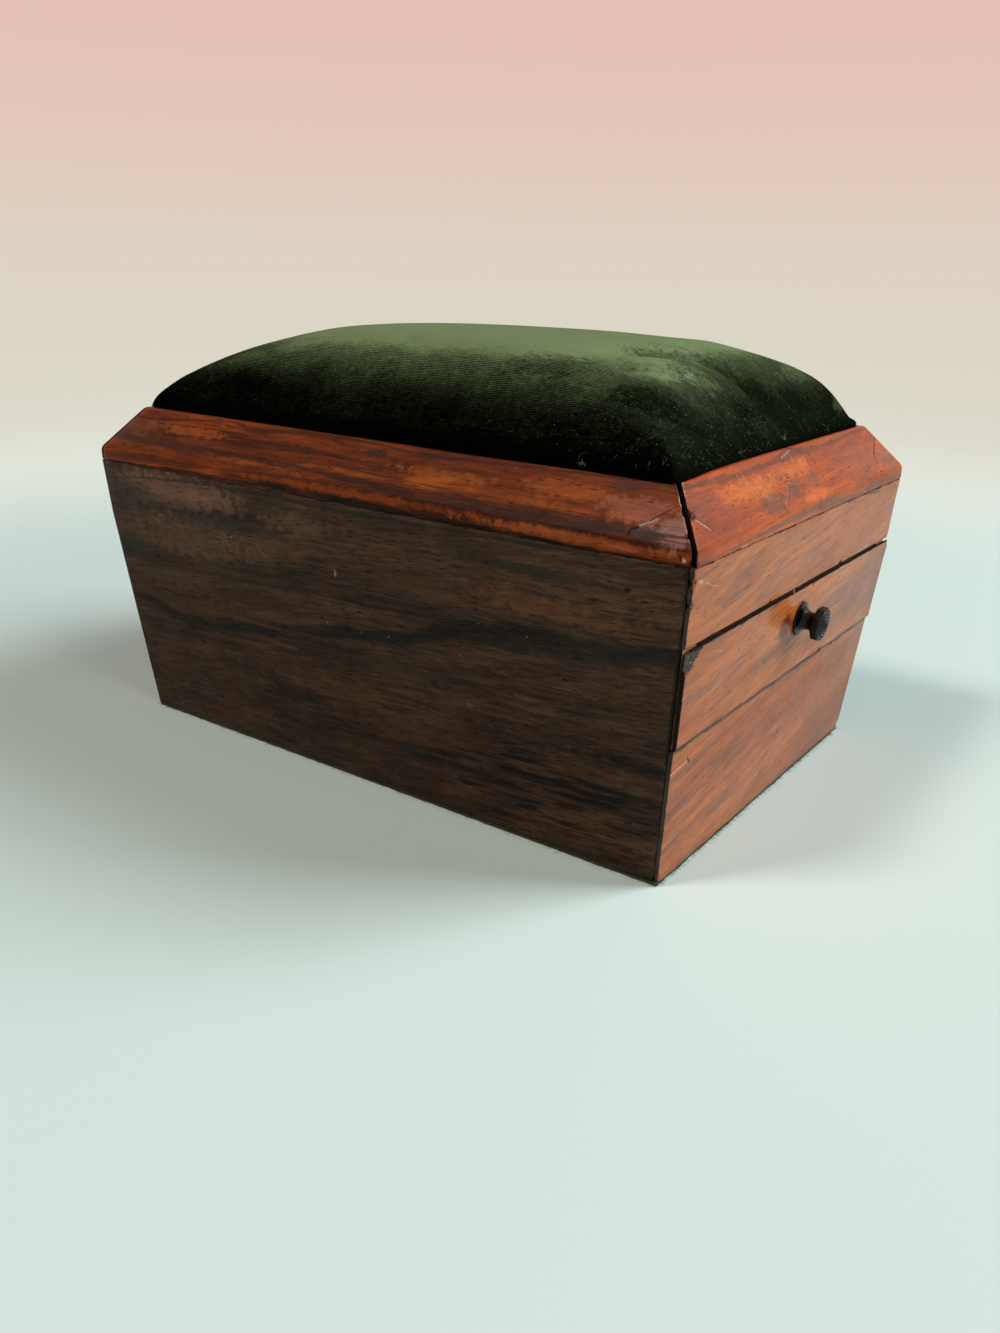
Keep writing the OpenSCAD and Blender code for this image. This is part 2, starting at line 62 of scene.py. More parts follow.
cameraSetup = {
    "place": (174.6, -241.74, 125.28),  # mm from the middle of the base
    "azimuth": 35.58,  # degrees round from straight behind the left side
    "elevation": 20.18,
    "roll": 1.18,
    "focalPixels": 1092,  # on an image 1333 pixels high
    "imageHeight": 1333,
    "sensor": 36,
}


def makeCamera():
    azimuth, elevation, roll = (math.radians(cameraSetup[k]) for k in ("azimuth", "elevation", "roll"))
    back = Vector((math.sin(azimuth) * math.cos(elevation),
                   -math.cos(azimuth) * math.cos(elevation), math.sin(elevation)))
    right = (-back).cross(Vector((0, 0, 1))).normalized()
    up = right.cross(-back)
    turned = (right * math.cos(roll) + up * math.sin(roll), up * math.cos(roll) - right * math.sin(roll))
    camera = bpy.data.objects.new("camera", bpy.data.cameras.new("camera"))
    bpy.context.scene.collection.objects.link(camera)
    axes = Matrix((turned[0], turned[1], back)).transposed().to_4x4()
    camera.matrix_world = Matrix.Translation(Vector(cameraSetup["place"]) * mm) @ axes
    camera.data.sensor_width = cameraSetup["sensor"]
    camera.data.lens = cameraSetup["focalPixels"] * cameraSetup["sensor"] / cameraSetup["imageHeight"]
    camera.data.clip_start = 0.01
    bpy.context.scene.camera = camera


lampSetup = {
    # direction from the box, side of the square lamp in metres, power in watts, colour
    "window": ((0.640, 0.520, 0.566), 1.6, 90, (0.92, 1.0, 1.08)),
    "frontLeft": ((-0.274, -0.524, 0.806), 0.65, 35, (1.04, 1.0, 0.97)),
    "lowRight": ((0.925, -0.165, 0.342), 1.2, 25, (1.05, 0.98, 0.75)),
}
lampDistance = 3.0
skyColour = (0.80, 0.77, 0.72)
skyLight = 0.05  # share of the sky that lights the box


def makeLamps():
    for name, (towards, side, power, colour) in lampSetup.items():
        data = bpy.data.lights.new(name, "AREA")
        data.energy = power
        data.size = side
        data.color = colour
        lamp = bpy.data.objects.new(name, data)
        towards = Vector(towards).normalized()
        lamp.matrix_world = (Matrix.Translation(towards * lampDistance)
                             @ towards.to_track_quat("Z", "Y").to_matrix().to_4x4())
        bpy.context.scene.collection.objects.link(lamp)
    world = bpy.data.worlds.new("studio")
    bpy.context.scene.world = world
    world.use_nodes = True
    tree = world.node_tree
    background = tree.nodes["Background"]
    background.inputs["Color"].default_value = (*skyColour, 1)
    tree.links.new(mapRange(tree, shownRay(tree), 0, 1, skyLight, 1), background.inputs["Strength"])


# Small helpers for node trees

def addNode(tree, kind, inputs=None, **settings):
    node = tree.nodes.new(kind)
    for name, value in settings.items():
        setattr(node, name, value)
    for key, value in (inputs or {}).items():
        if isinstance(value, bpy.types.NodeSocket):
            tree.links.new(value, node.inputs[key])
        elif value is not None:
            node.inputs[key].default_value = value
    return node


def mathNode(tree, operation, first, second=None, clamp=False):
    return addNode(tree, "ShaderNodeMath", {0: first, 1: second}, operation=operation, use_clamp=clamp).outputs[0]


def vectorNode(tree, operation, first, second=None):
    node = addNode(tree, "ShaderNodeVectorMath", {0: first, 1: second}, operation=operation)
    return node.outputs["Value" if operation in ("LENGTH", "DISTANCE", "DOT_PRODUCT") else "Vector"]


def mapRange(tree, value, low, high, toLow=0.0, toHigh=1.0, smooth=False):
    kind = "SMOOTHSTEP" if smooth else "LINEAR"
    return addNode(tree, "ShaderNodeMapRange", {"Value": value, "From Min": low, "From Max": high,
                   "To Min": toLow, "To Max": toHigh}, interpolation_type=kind).outputs[0]


def mixColours(tree, share, first, second, blend="MIX"):
    node = addNode(tree, "ShaderNodeMix", data_type="RGBA", blend_type=blend)
    for index, value in ((0, share), (6, first), (7, second)):
        if isinstance(value, bpy.types.NodeSocket):
            tree.links.new(value, node.inputs[index])
        else:
            node.inputs[index].default_value = (*value, 1) if isinstance(value, tuple) and len(value) == 3 else value
    return node.outputs[2]


def noiseNode(tree, vector, scale=1.0, detail=2.0, roughness=0.5):
    return addNode(tree, "ShaderNodeTexNoise", {"Vector": vector, "Scale": scale, "Detail": detail,
                   "Roughness": roughness}).outputs["Fac"]


def shownRay(tree):
    # 1 for the rays that show the backdrop, straight or in gloss, and 0 for those that carry light
    seen = addNode(tree, "ShaderNodeLightPath").outputs
    shown = mathNode(tree, "MAXIMUM", seen["Is Camera Ray"], seen["Is Glossy Ray"])
    return mathNode(tree, "MAXIMUM", shown, seen["Is Transmission Ray"])


def curveNode(tree, value, points):
    node = addNode(tree, "ShaderNodeFloatCurve", {"Value": value})
    curve = node.mapping.curves[0]
    for k, (x, y) in enumerate(points):
        if k < 2:
            curve.points[k].location = (x, y)
        else:
            curve.points.new(x, y)
    node.mapping.update()
    return node.outputs[0]


def newGroup(name, inputs, outputs):
    tree = bpy.data.node_groups.new(name, "ShaderNodeTree")
    for socket, kind, value in inputs:
        made = tree.interface.new_socket(socket, in_out="INPUT", socket_type="NodeSocket" + kind)
        if value is not None:
            made.default_value = value
    for socket, kind in outputs:
        tree.interface.new_socket(socket, in_out="OUTPUT", socket_type="NodeSocket" + kind)
    return tree, tree.nodes.new("NodeGroupInput").outputs, tree.nodes.new("NodeGroupOutput").inputs


def groupNode(tree, group, inputs):
    node = addNode(tree, "ShaderNodeGroup", node_tree=group)
    for key, value in inputs.items():
        if isinstance(value, bpy.types.NodeSocket):
            tree.links.new(value, node.inputs[key])
        else:
            node.inputs[key].default_value = (*value, 1) if isinstance(value, tuple) and len(value) == 3 \
                and node.inputs[key].type == "RGBA" else value
    return node


def newMaterial(name):
    material = bpy.data.materials.new(name)
    material.use_nodes = True
    tree = material.node_tree
    return material, tree, tree.nodes["Principled BSDF"]


# Floor and backdrop in one bowl of pale paper

stageSetup = {
    "floorRadius": 0.95,
    "bend": 0.3,
    "wallTop": 1.15,
    "plainRadius": (0.24, 0.55),  # within the first the floor is lit only by the lamps
    "nearColour": (0.71, 0.82, 0.755),
    # distance out and then up the wall in metres, with the colour there
    "colours": [(0.22, (0.71, 0.82, 0.755)), (0.38, (0.80, 0.83, 0.745)), (0.66, (0.72, 0.715, 0.62)),
                (1.22, (0.71, 0.66, 0.56)), (1.36, (0.73, 0.64, 0.54)), (1.50, (0.76, 0.58, 0.50)),
                (1.64, (0.79, 0.53, 0.465)), (1.85, (0.78, 0.49, 0.44))],
    "reach": 2.0,  # metres spanned by the ramp
    "steps": 72,
}


def makeStage():
    bm = bmesh.new()
    centre = Vector((0, 0, stageSetup["bend"]))
    profile = [Vector((0, 0, 0)), Vector((0.2, 0, 0)), Vector((stageSetup["floorRadius"], 0, 0))]
    for k in range(1, 9):
        turn = math.radians(90 * k / 8)
        profile.append(Vector((stageSetup["floorRadius"] + stageSetup["bend"] * math.sin(turn), 0,
                               centre.z - stageSetup["bend"] * math.cos(turn))))
    profile.append(Vector((profile[-1].x, 0, stageSetup["wallTop"])))
    verts = [bm.verts.new(p) for p in profile]
    edges = [bm.edges.new(pair) for pair in zip(verts, verts[1:])]
    bmesh.ops.spin(bm, geom=verts + edges, cent=(0, 0, 0), axis=(0, 0, 1), angle=math.tau,
                   steps=stageSetup["steps"], use_merge=True)
    bmesh.ops.remove_doubles(bm, verts=bm.verts[:], dist=1e-5)
    bmesh.ops.recalc_face_normals(bm, faces=bm.faces[:])
    if sum(f.normal.z for f in bm.faces) < 0:
        bmesh.ops.reverse_faces(bm, faces=bm.faces[:])
    bowl = meshObject("backdrop", bm, smooth=True)
    bowl.data.materials.append(makePaper())
    bowl.visible_shadow = False  # the lamps stand outside the bowl


def makePaper():
    material, tree, surface = newMaterial("backdrop_paper")
    place = addNode(tree, "ShaderNodeTexCoord").outputs["Object"]
    parts = addNode(tree, "ShaderNodeSeparateXYZ", {0: place}).outputs
    flat = vectorNode(tree, "LENGTH", addNode(tree, "ShaderNodeCombineXYZ", {0: parts[0], 1: parts[1]}).outputs[0])
    travelled = mathNode(tree, "ADD", flat, parts[2])
    ramp = addNode(tree, "ShaderNodeValToRGB", {0: mathNode(tree, "DIVIDE", travelled, stageSetup["reach"])})
    stops = ramp.color_ramp.elements
    for k, (distance, colour) in enumerate(stageSetup["colours"]):
        stop = stops[k] if k < 2 else stops.new(1)
        stop.position = distance / stageSetup["reach"]
        stop.color = (*colour, 1)
    surface.inputs["Base Color"].default_value = (*stageSetup["nearColour"], 1)
    surface.inputs["Roughness"].default_value = 0.7
    surface.inputs["Specular IOR Level"].default_value = 0.1
    glow = addNode(tree, "ShaderNodeEmission", {"Color": ramp.outputs[0], "Strength": shownRay(tree)})
    far = mapRange(tree, travelled, *stageSetup["plainRadius"], smooth=True)
    mixed = addNode(tree, "ShaderNodeMixShader", {0: far, 1: surface.outputs[0], 2: glow.outputs[0]})
    tree.links.new(mixed.outputs[0], tree.nodes["Material Output"].inputs["Surface"])
    return material


# Mesh helpers

def meshObject(name, bm, smooth=False, sharpAngle=None):
    if sharpAngle is not None:
        for edge in bm.edges:
            edge.smooth = len(edge.link_faces) == 2 and edge.calc_face_angle(0) < math.radians(sharpAngle)
    for face in bm.faces:
        face.smooth = smooth
    mesh = bpy.data.meshes.new(name)
    bm.to_mesh(mesh)
    bm.free()
    piece = bpy.data.objects.new(name, mesh)
    bpy.context.scene.collection.objects.link(piece)
    return piece


def sliceAlong(bm, axis, places):
    normal = [0, 0, 0]
    normal[axis] = 1
    for place in places:
        cut = [0, 0, 0]
        cut[axis] = place
        bmesh.ops.bisect_plane(bm, geom=bm.verts[:] + bm.edges[:] + bm.faces[:], dist=1e-6,
                               plane_co=cut, plane_no=normal)


def distanceToEdge(point, edges):
    best = 1.0
    for start, run, squared in edges:
        share = max(0.0, min(1.0, (point - start).dot(run) / squared))
        best = min(best, (point - start - run * share).length)
    return best


# Wood pieces: a copy of each board is merged, its arrises are rounded and then worn

woodWork = {
    # node: (new name, body, slot, bevel mm, slice mm, wear mm, shader, edge faces inside the gaps and mitres, painted
    # black: dust and painted shade)
    "left_veneer": ("veneer_left", "carcass", "side_veneer", 0.20, 3.0, 0.05, "sideRosewood", [(1, 0, 0)]),
    "right_veneer": ("veneer_right", "carcass", "side_veneer", 0.20, 5.0, 0.05, "sideRosewood", [(1, 0, 0)]),
    "back_veneer": ("veneer_back", "carcass", "end_veneer", 0.20, 5.0, 0.05, "endRosewood", []),
    "front_top_veneer": ("veneer_front_top", "carcass", "end_veneer", 0.15, 2.4, 0.06, "endRosewood", [(0, 0, -1)]),
    "front_bottom_veneer": ("veneer_front_bottom", "carcass", "end_veneer", 0.15, 2.4, 0.06, "endRosewood", [(0, 0, 1)]),
    "drawer_front_veneer": ("veneer_drawer", "drawer", "end_veneer", 0.15, 2.4, 0.06, "drawerRosewood",
                            [(0, 0, 1), (0, 0, -1), (0, 1, 0), (0, -1, 0)]),
    "rim_left": ("moulding_left", "carcass", "rim_rosewood", 0.30, 2.2, 0.06, "leftRim", [(0.71, 0.71, 0), (-0.71, 0.71, 0)]),
    "rim_right": ("moulding_right", "carcass", "rim_rosewood", 0.30, 5.0, 0.06, "leftRim", [(0.71, -0.71, 0), (-0.71, -0.71, 0)]),
    "rim_front": ("moulding_front", "carcass", "rim_rosewood", 0.30, 2.2, 0.06, "frontRim", [(-0.71, -0.71, 0), (-0.71, 0.71, 0)]),
    "rim_back": ("moulding_back", "carcass", "rim_rosewood", 0.30, 5.0, 0.06, "frontRim", [(0.71, -0.71, 0), (0.71, 0.71, 0)]),
}
edgeLoops = (0.35, 0.9)  # mm from one loop to the next, in from each arris
taper = (0.0869, 0.1035)  # how far the ends and the sides lean out for each mm up
# The box's upright corners are rounded over by handling: side of X and Y, and reach in mm
roundedCorners = {(-1, -1): 2.8, (1, 1): 3.0, (-1, 1): 2.8, (1, -1): 0.8}

# Bits broken out of the arrises: node, place and radius in mm, depth in mm
chips = {
    "left_veneer": [((89.0, -62.5, 71.5), 1.5, 0.35), ((88.4, -61.6, 66.2), 1.1, 0.3), ((88.0, -61.0, 60.5), 0.9, 0.25),
                    ((75.8, -61.8, 66.7), 0.7, 0.3), ((-3.7, -60.7, 55.8), 0.8, 0.12), ((83.2, -55.0, 1.2), 1.4, 0.4)],
    "front_top_veneer": [((89.7, -62.4, 70.3), 1.5, 0.4), ((89.3, -62.0, 66.0), 1.3, 0.35), ((89.0, -61.6, 58.5), 1.1, 0.35),
                         ((88.6, 24.0, 56.9), 1.0, 0.3), ((88.6, -20.0, 56.9), 0.8, 0.25)],
    "front_bottom_veneer": [((83.6, -55.2, 1.0), 1.6, 0.5), ((86.4, -58.2, 29.0), 0.9, 0.3), ((83.6, 55.0, 1.0), 1.6, 0.5),
                            ((86.5, 31.0, 33.8), 0.9, 0.3)],
    "drawer_front_veneer": [((89.1, -60.7, 55.9), 2.6, 0.55), ((88.9, -59.9, 52.5), 1.5, 0.4), ((89.0, 60.5, 56.0), 1.4, 0.4),
                            ((89.1, 5.0, 56.1), 0.9, 0.3), ((87.3, 20.0, 34.6), 0.9, 0.3)],
    "rim_left": [((84.6, -57.2, 82.4), 1.1, 0.4), ((87.0, -60.6, 78.6), 0.8, 0.35), ((89.2, -62.4, 74.2), 1.0, 0.35),
                 ((-12.8, -52.6, 87.2), 0.9, 0.25), ((55.0, -52.8, 87.2), 1.2, 0.3), ((10.0, -52.8, 87.2), 0.8, 0.2)],
    "rim_front": [((85.1, -56.6, 81.7), 1.5, 0.6), ((87.3, -59.4, 78.4), 0.7, 0.3), ((89.6, -61.5, 73.9), 0.8, 0.3),
                  ((80.2, 1.7, 87.2), 1.3, 0.3)],
}


def roundedBy(point, rim):
    # how far the corner has gone at this point, in metres
    radius = roundedCorners[(1 if point.x > 0 else -1, 1 if point.y > 0 else -1)] * mm
    drop = 0.0 if rim else jointHeight - point.z
    inX = halfLength - drop * taper[0] - abs(point.x)
    inY = halfWidth - drop * taper[1] - abs(point.y)
    away = abs(inX - inY) / radius
    if away >= 1:
        return 0.0
    push = 0.293 * radius * (1 - away) ** 2
    if rim:
        return push
    return min(push, 0.5 * mm) * max(0.0, 1 - drop / (14 * mm)) if min(inX, inY) < 0.4 * mm else 0.0


def makeWood(node, shaders):
    name, body, slot, bevel, step, wear, shader, grimy = woodWork[node]
    bm = bmesh.new()
    bm.from_mesh(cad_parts[node].data)
    bmesh.ops.remove_doubles(bm, verts=bm.verts[:], dist=2e-6)
    bmesh.ops.dissolve_limit(bm, angle_limit=math.radians(0.5), verts=bm.verts[:], edges=bm.edges[:])
    sharp = [e for e in bm.edges if len(e.link_faces) == 2 and e.calc_face_angle(0) > math.radians(20)]
    lines = [(e.verts[0].co.copy(), e.verts[1].co - e.verts[0].co, (e.verts[1].co - e.verts[0].co).length_squared)
             for e in sharp if e.calc_length() > 1e-5]
    for face in bm.faces:
        face.material_index = int(any(face.normal.dot(Vector(side).normalized()) > 0.9 for side in grimy))
    bmesh.ops.bevel(bm, geom=sharp, offset=bevel * mm, segments=2, profile=0.5, affect="EDGES",
                    offset_type="OFFSET", material=-1, clamp_overlap=True)
    for width in edgeLoops:
        broad = [f for f in bm.faces if f.calc_area() / f.calc_perimeter() > 1.6 * mm]
        bmesh.ops.inset_individual(bm, faces=broad, thickness=width * mm, use_even_offset=True)
    low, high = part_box(node)
    broken = [(Vector(place) * mm, radius * mm, depth * mm) for place, radius, depth in chips.get(node, [])]
    for axis in range(3):
        span = (high - low)[axis]
        count = int(span / (step * mm))
        if span > 3 * step * mm:
            sliceAlong(bm, axis, [low[axis] + span * k / (count + 1) for k in range(1, count + 1)])
        if span > 5 * mm:
            fine = sorted({round(place[axis] + radius * k / 4, 5) for place, radius, depth in broken for k in range(-5, 6)})
            if axis < 2 and node.startswith("rim"):
                fine += [end + side * reach * mm for end, side in ((low[axis], 1), (high[axis], -1)) for reach in (0.5, 1.1, 1.9, 2.9)]
            sliceAlong(bm, axis, [place for place in fine if low[axis] < place < high[axis]])
    bm.normal_update()
    seed = Vector((len(name) * 7.3, ord(name[-1]) * 1.7, 3.1))
    edgeLayer = bm.verts.layers.float.new("edgeDistance")
    chipLayer = bm.verts.layers.float.new("chipped")
    moves = {}
    for vert in bm.verts:
        reach = distanceToEdge(vert.co, lines)
        vert[edgeLayer] = min(reach / mm, 6.0)
        rough = noise.noise(vert.co * 190 + seed) * 0.7 + noise.noise(vert.co * 420 + seed) * 0.3
        soft = max(0.0, 1 - reach / (0.9 * mm))
        wave = noise.noise(vert.co * 45 + seed) * 0.05 * mm * min(1.0, reach / (3 * mm))
        sunk = max(0.0, rough + 0.1) * wear * mm * soft
        for place, radius, depth in broken:
            away = (vert.co - place).length / (radius * (1 + 0.6 * noise.noise(vert.co * 1300 + seed)))
            hollow = max(0.0, 1 - away * away)
            vert[chipLayer] = max(vert[chipLayer], min(1.0, 2 * hollow))
            sunk += depth * hollow * (1 + 0.5 * noise.noise(vert.co * 2600 + seed))
        push = roundedBy(vert.co, node.startswith("rim"))
        corner = Vector((math.copysign(push, vert.co.x), math.copysign(push, vert.co.y), 0))
        moves[vert] = vert.normal * (wave - sunk) - corner
    for vert, move in moves.items():
        vert.co += move
    piece = meshObject(name, bm, smooth=True, sharpAngle=40)
    piece.data.materials.append(shaders[shader])
    # the second material paints the faces inside the gaps black: dust and painted shade
    piece.data.materials.append(shaders["grime"])
    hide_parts(node)
    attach(piece, body)
    return piece


# Wood figure: wavering dark lines, colour bands, fine fibre and short dark pores.
# The vector comes in millimetres with the grain along X.

def figureGroup():
    tree, given, made = newGroup("wood_figure", [
        ("Vector", "Vector", None), ("Light", "Color", (0.4, 0.15, 0.06, 1)), ("Middle", "Color", (0.2, 0.07, 0.03, 1)),
        ("Dark", "Color", (0.02, 0.015, 0.012, 1)), ("Streaks", "Float", 0.5), ("Lines", "Float", 0.5), ("Ticks", "Float", 0.5),
        ("Pores", "Float", 0.7), ("Wander", "Float", 6.0), ("Blotches", "Float", 0.4), ("Fibres", "Float", 0.3)],
        [("Color", "Color"), ("Pore Mask", "Float"), ("Height", "Float")])

    def field(vector, along, across, detail, roughness, shift):
        scaled = vectorNode(tree, "MULTIPLY", vector, (along, across, across))
        return noiseNode(tree, vectorNode(tree, "ADD", scaled, (shift, shift * 0.7, shift * 1.3)), 1.0, detail, roughness)

    def share(value, low, high, strength):
        return mathNode(tree, "MULTIPLY", mapRange(tree, value, low, high, smooth=True), strength)

    drift = mathNode(tree, "SUBTRACT", field(given["Vector"], 0.011, 0.03, 2, 0.5, 3.0), 0.5)
    ripple = mathNode(tree, "SUBTRACT", field(given["Vector"], 0.05, 0.2, 2, 0.5, 9.0), 0.5)
    sway = mathNode(tree, "ADD", mathNode(tree, "MULTIPLY", drift, given["Wander"]), mathNode(tree, "MULTIPLY", ripple, 1.6))
    bent = vectorNode(tree, "ADD", given["Vector"], addNode(tree, "ShaderNodeCombineXYZ", {1: sway, 2: sway}).outputs[0])
    bands = field(bent, 0.008, 0.09, 2, 0.5, 17.0)
    streaks = field(bent, 0.018, 0.55, 5, 0.65, 31.0)
    lines = field(bent, 0.007, 0.20, 3, 0.45, 47.0)
    ticks = field(bent, 0.075, 1.15, 4, 0.65, 23.0)
    fibres = mathNode(tree, "ADD", mathNode(tree, "MULTIPLY", field(bent, 0.16, 4.2, 4, 0.65, 5.0), 0.45),
                      mathNode(tree, "MULTIPLY", field(bent, 0.10, 1.5, 4, 0.7, 13.0), 0.55))
    patches = field(given["Vector"], 0.045, 0.09, 4, 0.65, 71.0)

    lightShare = mathNode(tree, "ADD", mathNode(tree, "MULTIPLY", bands, 0.45), mathNode(tree, "MULTIPLY", streaks, 0.55))
    colour = mixColours(tree, mapRange(tree, lightShare, 0.42, 0.60, smooth=True), given["Middle"], given["Light"])
    lineWeight = mathNode(tree, "ADD", lines, mathNode(tree, "MULTIPLY", mathNode(tree, "SUBTRACT", streaks, 0.5), 0.45))
    colour = mixColours(tree, share(lineWeight, 0.53, 0.66, given["Lines"]), colour, given["Dark"])
    colour = mixColours(tree, share(streaks, 0.52, 0.70, given["Streaks"]), colour, given["Dark"])
    colour = mixColours(tree, share(patches, 0.50, 0.68, given["Blotches"]), colour, given["Middle"])
    colour = mixColours(tree, share(ticks, 0.49, 0.40, mathNode(tree, "MULTIPLY", given["Ticks"], 0.6)), colour, given["Light"])
    colour = mixColours(tree, share(ticks, 0.51, 0.61, given["Ticks"]), colour, given["Dark"])
    depth = mathNode(tree, "MULTIPLY", mapRange(tree, fibres, 0.38, 0.62, -1, 1), given["Fibres"])
    tone = mathNode(tree, "ADD", depth, 1.0)
    colour = mixColours(tree, 1.0, colour, addNode(tree, "ShaderNodeCombineXYZ", {0: tone, 1: tone, 2: tone}).outputs[0], "MULTIPLY")

    poreMask = None
    for stretch, low, high, chosen, turn in (((0.23, 2.6, 2.6), 0.13, 0.30, 0.66, 0.0), ((0.11, 1.9, 1.9), 0.10, 0.22, 0.8, 7.7)):
        spread = vectorNode(tree, "ADD", vectorNode(tree, "MULTIPLY", bent, stretch), (turn, turn, turn))
        cells = addNode(tree, "ShaderNodeTexVoronoi", {"Vector": spread, "Scale": 1.0, "Randomness": 1.0})
        chance = addNode(tree, "ShaderNodeSeparateColor", {0: cells.outputs["Color"]}).outputs[0]
        dash = mapRange(tree, cells.outputs["Distance"], low, high, 1, 0, smooth=True)
        dash = mathNode(tree, "MULTIPLY", dash, mapRange(tree, chance, chosen, chosen + 0.04))
        poreMask = mathNode(tree, "MAXIMUM", poreMask, dash) if poreMask else dash
    gathered = mapRange(tree, field(bent, 0.03, 0.25, 3, 0.6, 61.0), 0.42, 0.62, 0.15, 1.0, smooth=True)
    poreMask = mathNode(tree, "MULTIPLY", mathNode(tree, "MULTIPLY", poreMask, gathered), given["Pores"])
    colour = mixColours(tree, poreMask, colour, (0.006, 0.005, 0.004))
    tree.links.new(colour, made["Color"])
    tree.links.new(poreMask, made["Pore Mask"])
    tree.links.new(mathNode(tree, "SUBTRACT", mathNode(tree, "MULTIPLY", fibres, 0.4), poreMask), made["Height"])
    return tree


# Marks by place: a ragged spot, and a scratch from one point to another, both in millimetres

def spotGroup():
    tree, given, made = newGroup("spot_mark", [("Vector", "Vector", None), ("Centre", "Vector", None),
        ("Size", "Vector", None), ("Ragged", "Float", 0.5)], [("Mask", "Float")])
    away = vectorNode(tree, "LENGTH", vectorNode(tree, "DIVIDE", vectorNode(tree, "SUBTRACT", given["Vector"], given["Centre"]), given["Size"]))
    speckle = mathNode(tree, "SUBTRACT", noiseNode(tree, given["Vector"], 0.45, 5, 0.7), 0.5)
    ragged = mathNode(tree, "ADD", away, mathNode(tree, "MULTIPLY", mathNode(tree, "MULTIPLY", speckle, 3.0), given["Ragged"]))
    tree.links.new(mapRange(tree, ragged, 0.45, 1.0, 1, 0, smooth=True), made["Mask"])
    return tree


def scratchGroup():
    tree, given, made = newGroup("scratch_mark", [("Vector", "Vector", None), ("Start", "Vector", None),
        ("End", "Vector", None), ("Width", "Float", 0.3)], [("Mask", "Float")])
    run = vectorNode(tree, "SUBTRACT", given["End"], given["Start"])
    wobble = noiseNode(tree, given["Vector"], 0.9, 3, 0.6)
    place = vectorNode(tree, "ADD", given["Vector"], mathNode(tree, "MULTIPLY", mathNode(tree, "SUBTRACT", wobble, 0.5), 0.8))
    offset = vectorNode(tree, "SUBTRACT", place, given["Start"])
    share = mathNode(tree, "DIVIDE", vectorNode(tree, "DOT_PRODUCT", offset, run), vectorNode(tree, "DOT_PRODUCT", run, run), clamp=True)
    along = addNode(tree, "ShaderNodeVectorMath", {0: run}, operation="SCALE")
    tree.links.new(share, along.inputs["Scale"])
    away = vectorNode(tree, "LENGTH", vectorNode(tree, "SUBTRACT", offset, along.outputs[0]))
    broken = mapRange(tree, noiseNode(tree, given["Vector"], 1.6, 3, 0.7), 0.3, 0.55, 0.45, 1.1)
    reach = mathNode(tree, "DIVIDE", away, mathNode(tree, "MULTIPLY", given["Width"], broken))
    tree.links.new(mapRange(tree, reach, 0.35, 1.0, 1, 0, smooth=True), made["Mask"])
    return tree


# Worn arrises, by the distance from an edge: the width varies from place to place and breaks off

def edgeGroup():
    tree, given, made = newGroup("worn_edges", [("Vector", "Vector", None), ("Distance", "Float", 5.0),
        ("Width", "Float", 1.0), ("Scale", "Float", 0.35), ("Cover", "Float", 0.5)], [("Mask", "Float")])
    spread = addNode(tree, "ShaderNodeTexNoise", {"Vector": given["Vector"], "Scale": given["Scale"], "Detail": 5.0,
                     "Roughness": 0.7}).outputs["Fac"]
    crumbs = noiseNode(tree, given["Vector"], 2.2, 4, 0.7)
    floor = mathNode(tree, "SUBTRACT", 0.66, mathNode(tree, "MULTIPLY", given["Cover"], 0.32))
    swing = mathNode(tree, "MULTIPLY", mathNode(tree, "SUBTRACT", spread, floor), 11.0)
    width = mathNode(tree, "MULTIPLY", given["Width"], mathNode(tree, "MAXIMUM", mathNode(tree, "MINIMUM", swing, 1.8), 0.01))
    width = mathNode(tree, "MULTIPLY", width, mapRange(tree, crumbs, 0.36, 0.60, 0.35, 1.25))
    tree.links.new(mapRange(tree, mathNode(tree, "DIVIDE", given["Distance"], width), 0.45, 1.0, 1, 0, smooth=True), made["Mask"])
    return tree


pale = (0.50, 0.34, 0.29)
# near black: dirt in scratches and joints, and painted shade in the drawer's gaps
dirtAndShade = (0.006, 0.005, 0.004)
slate = (0.060, 0.045, 0.045)

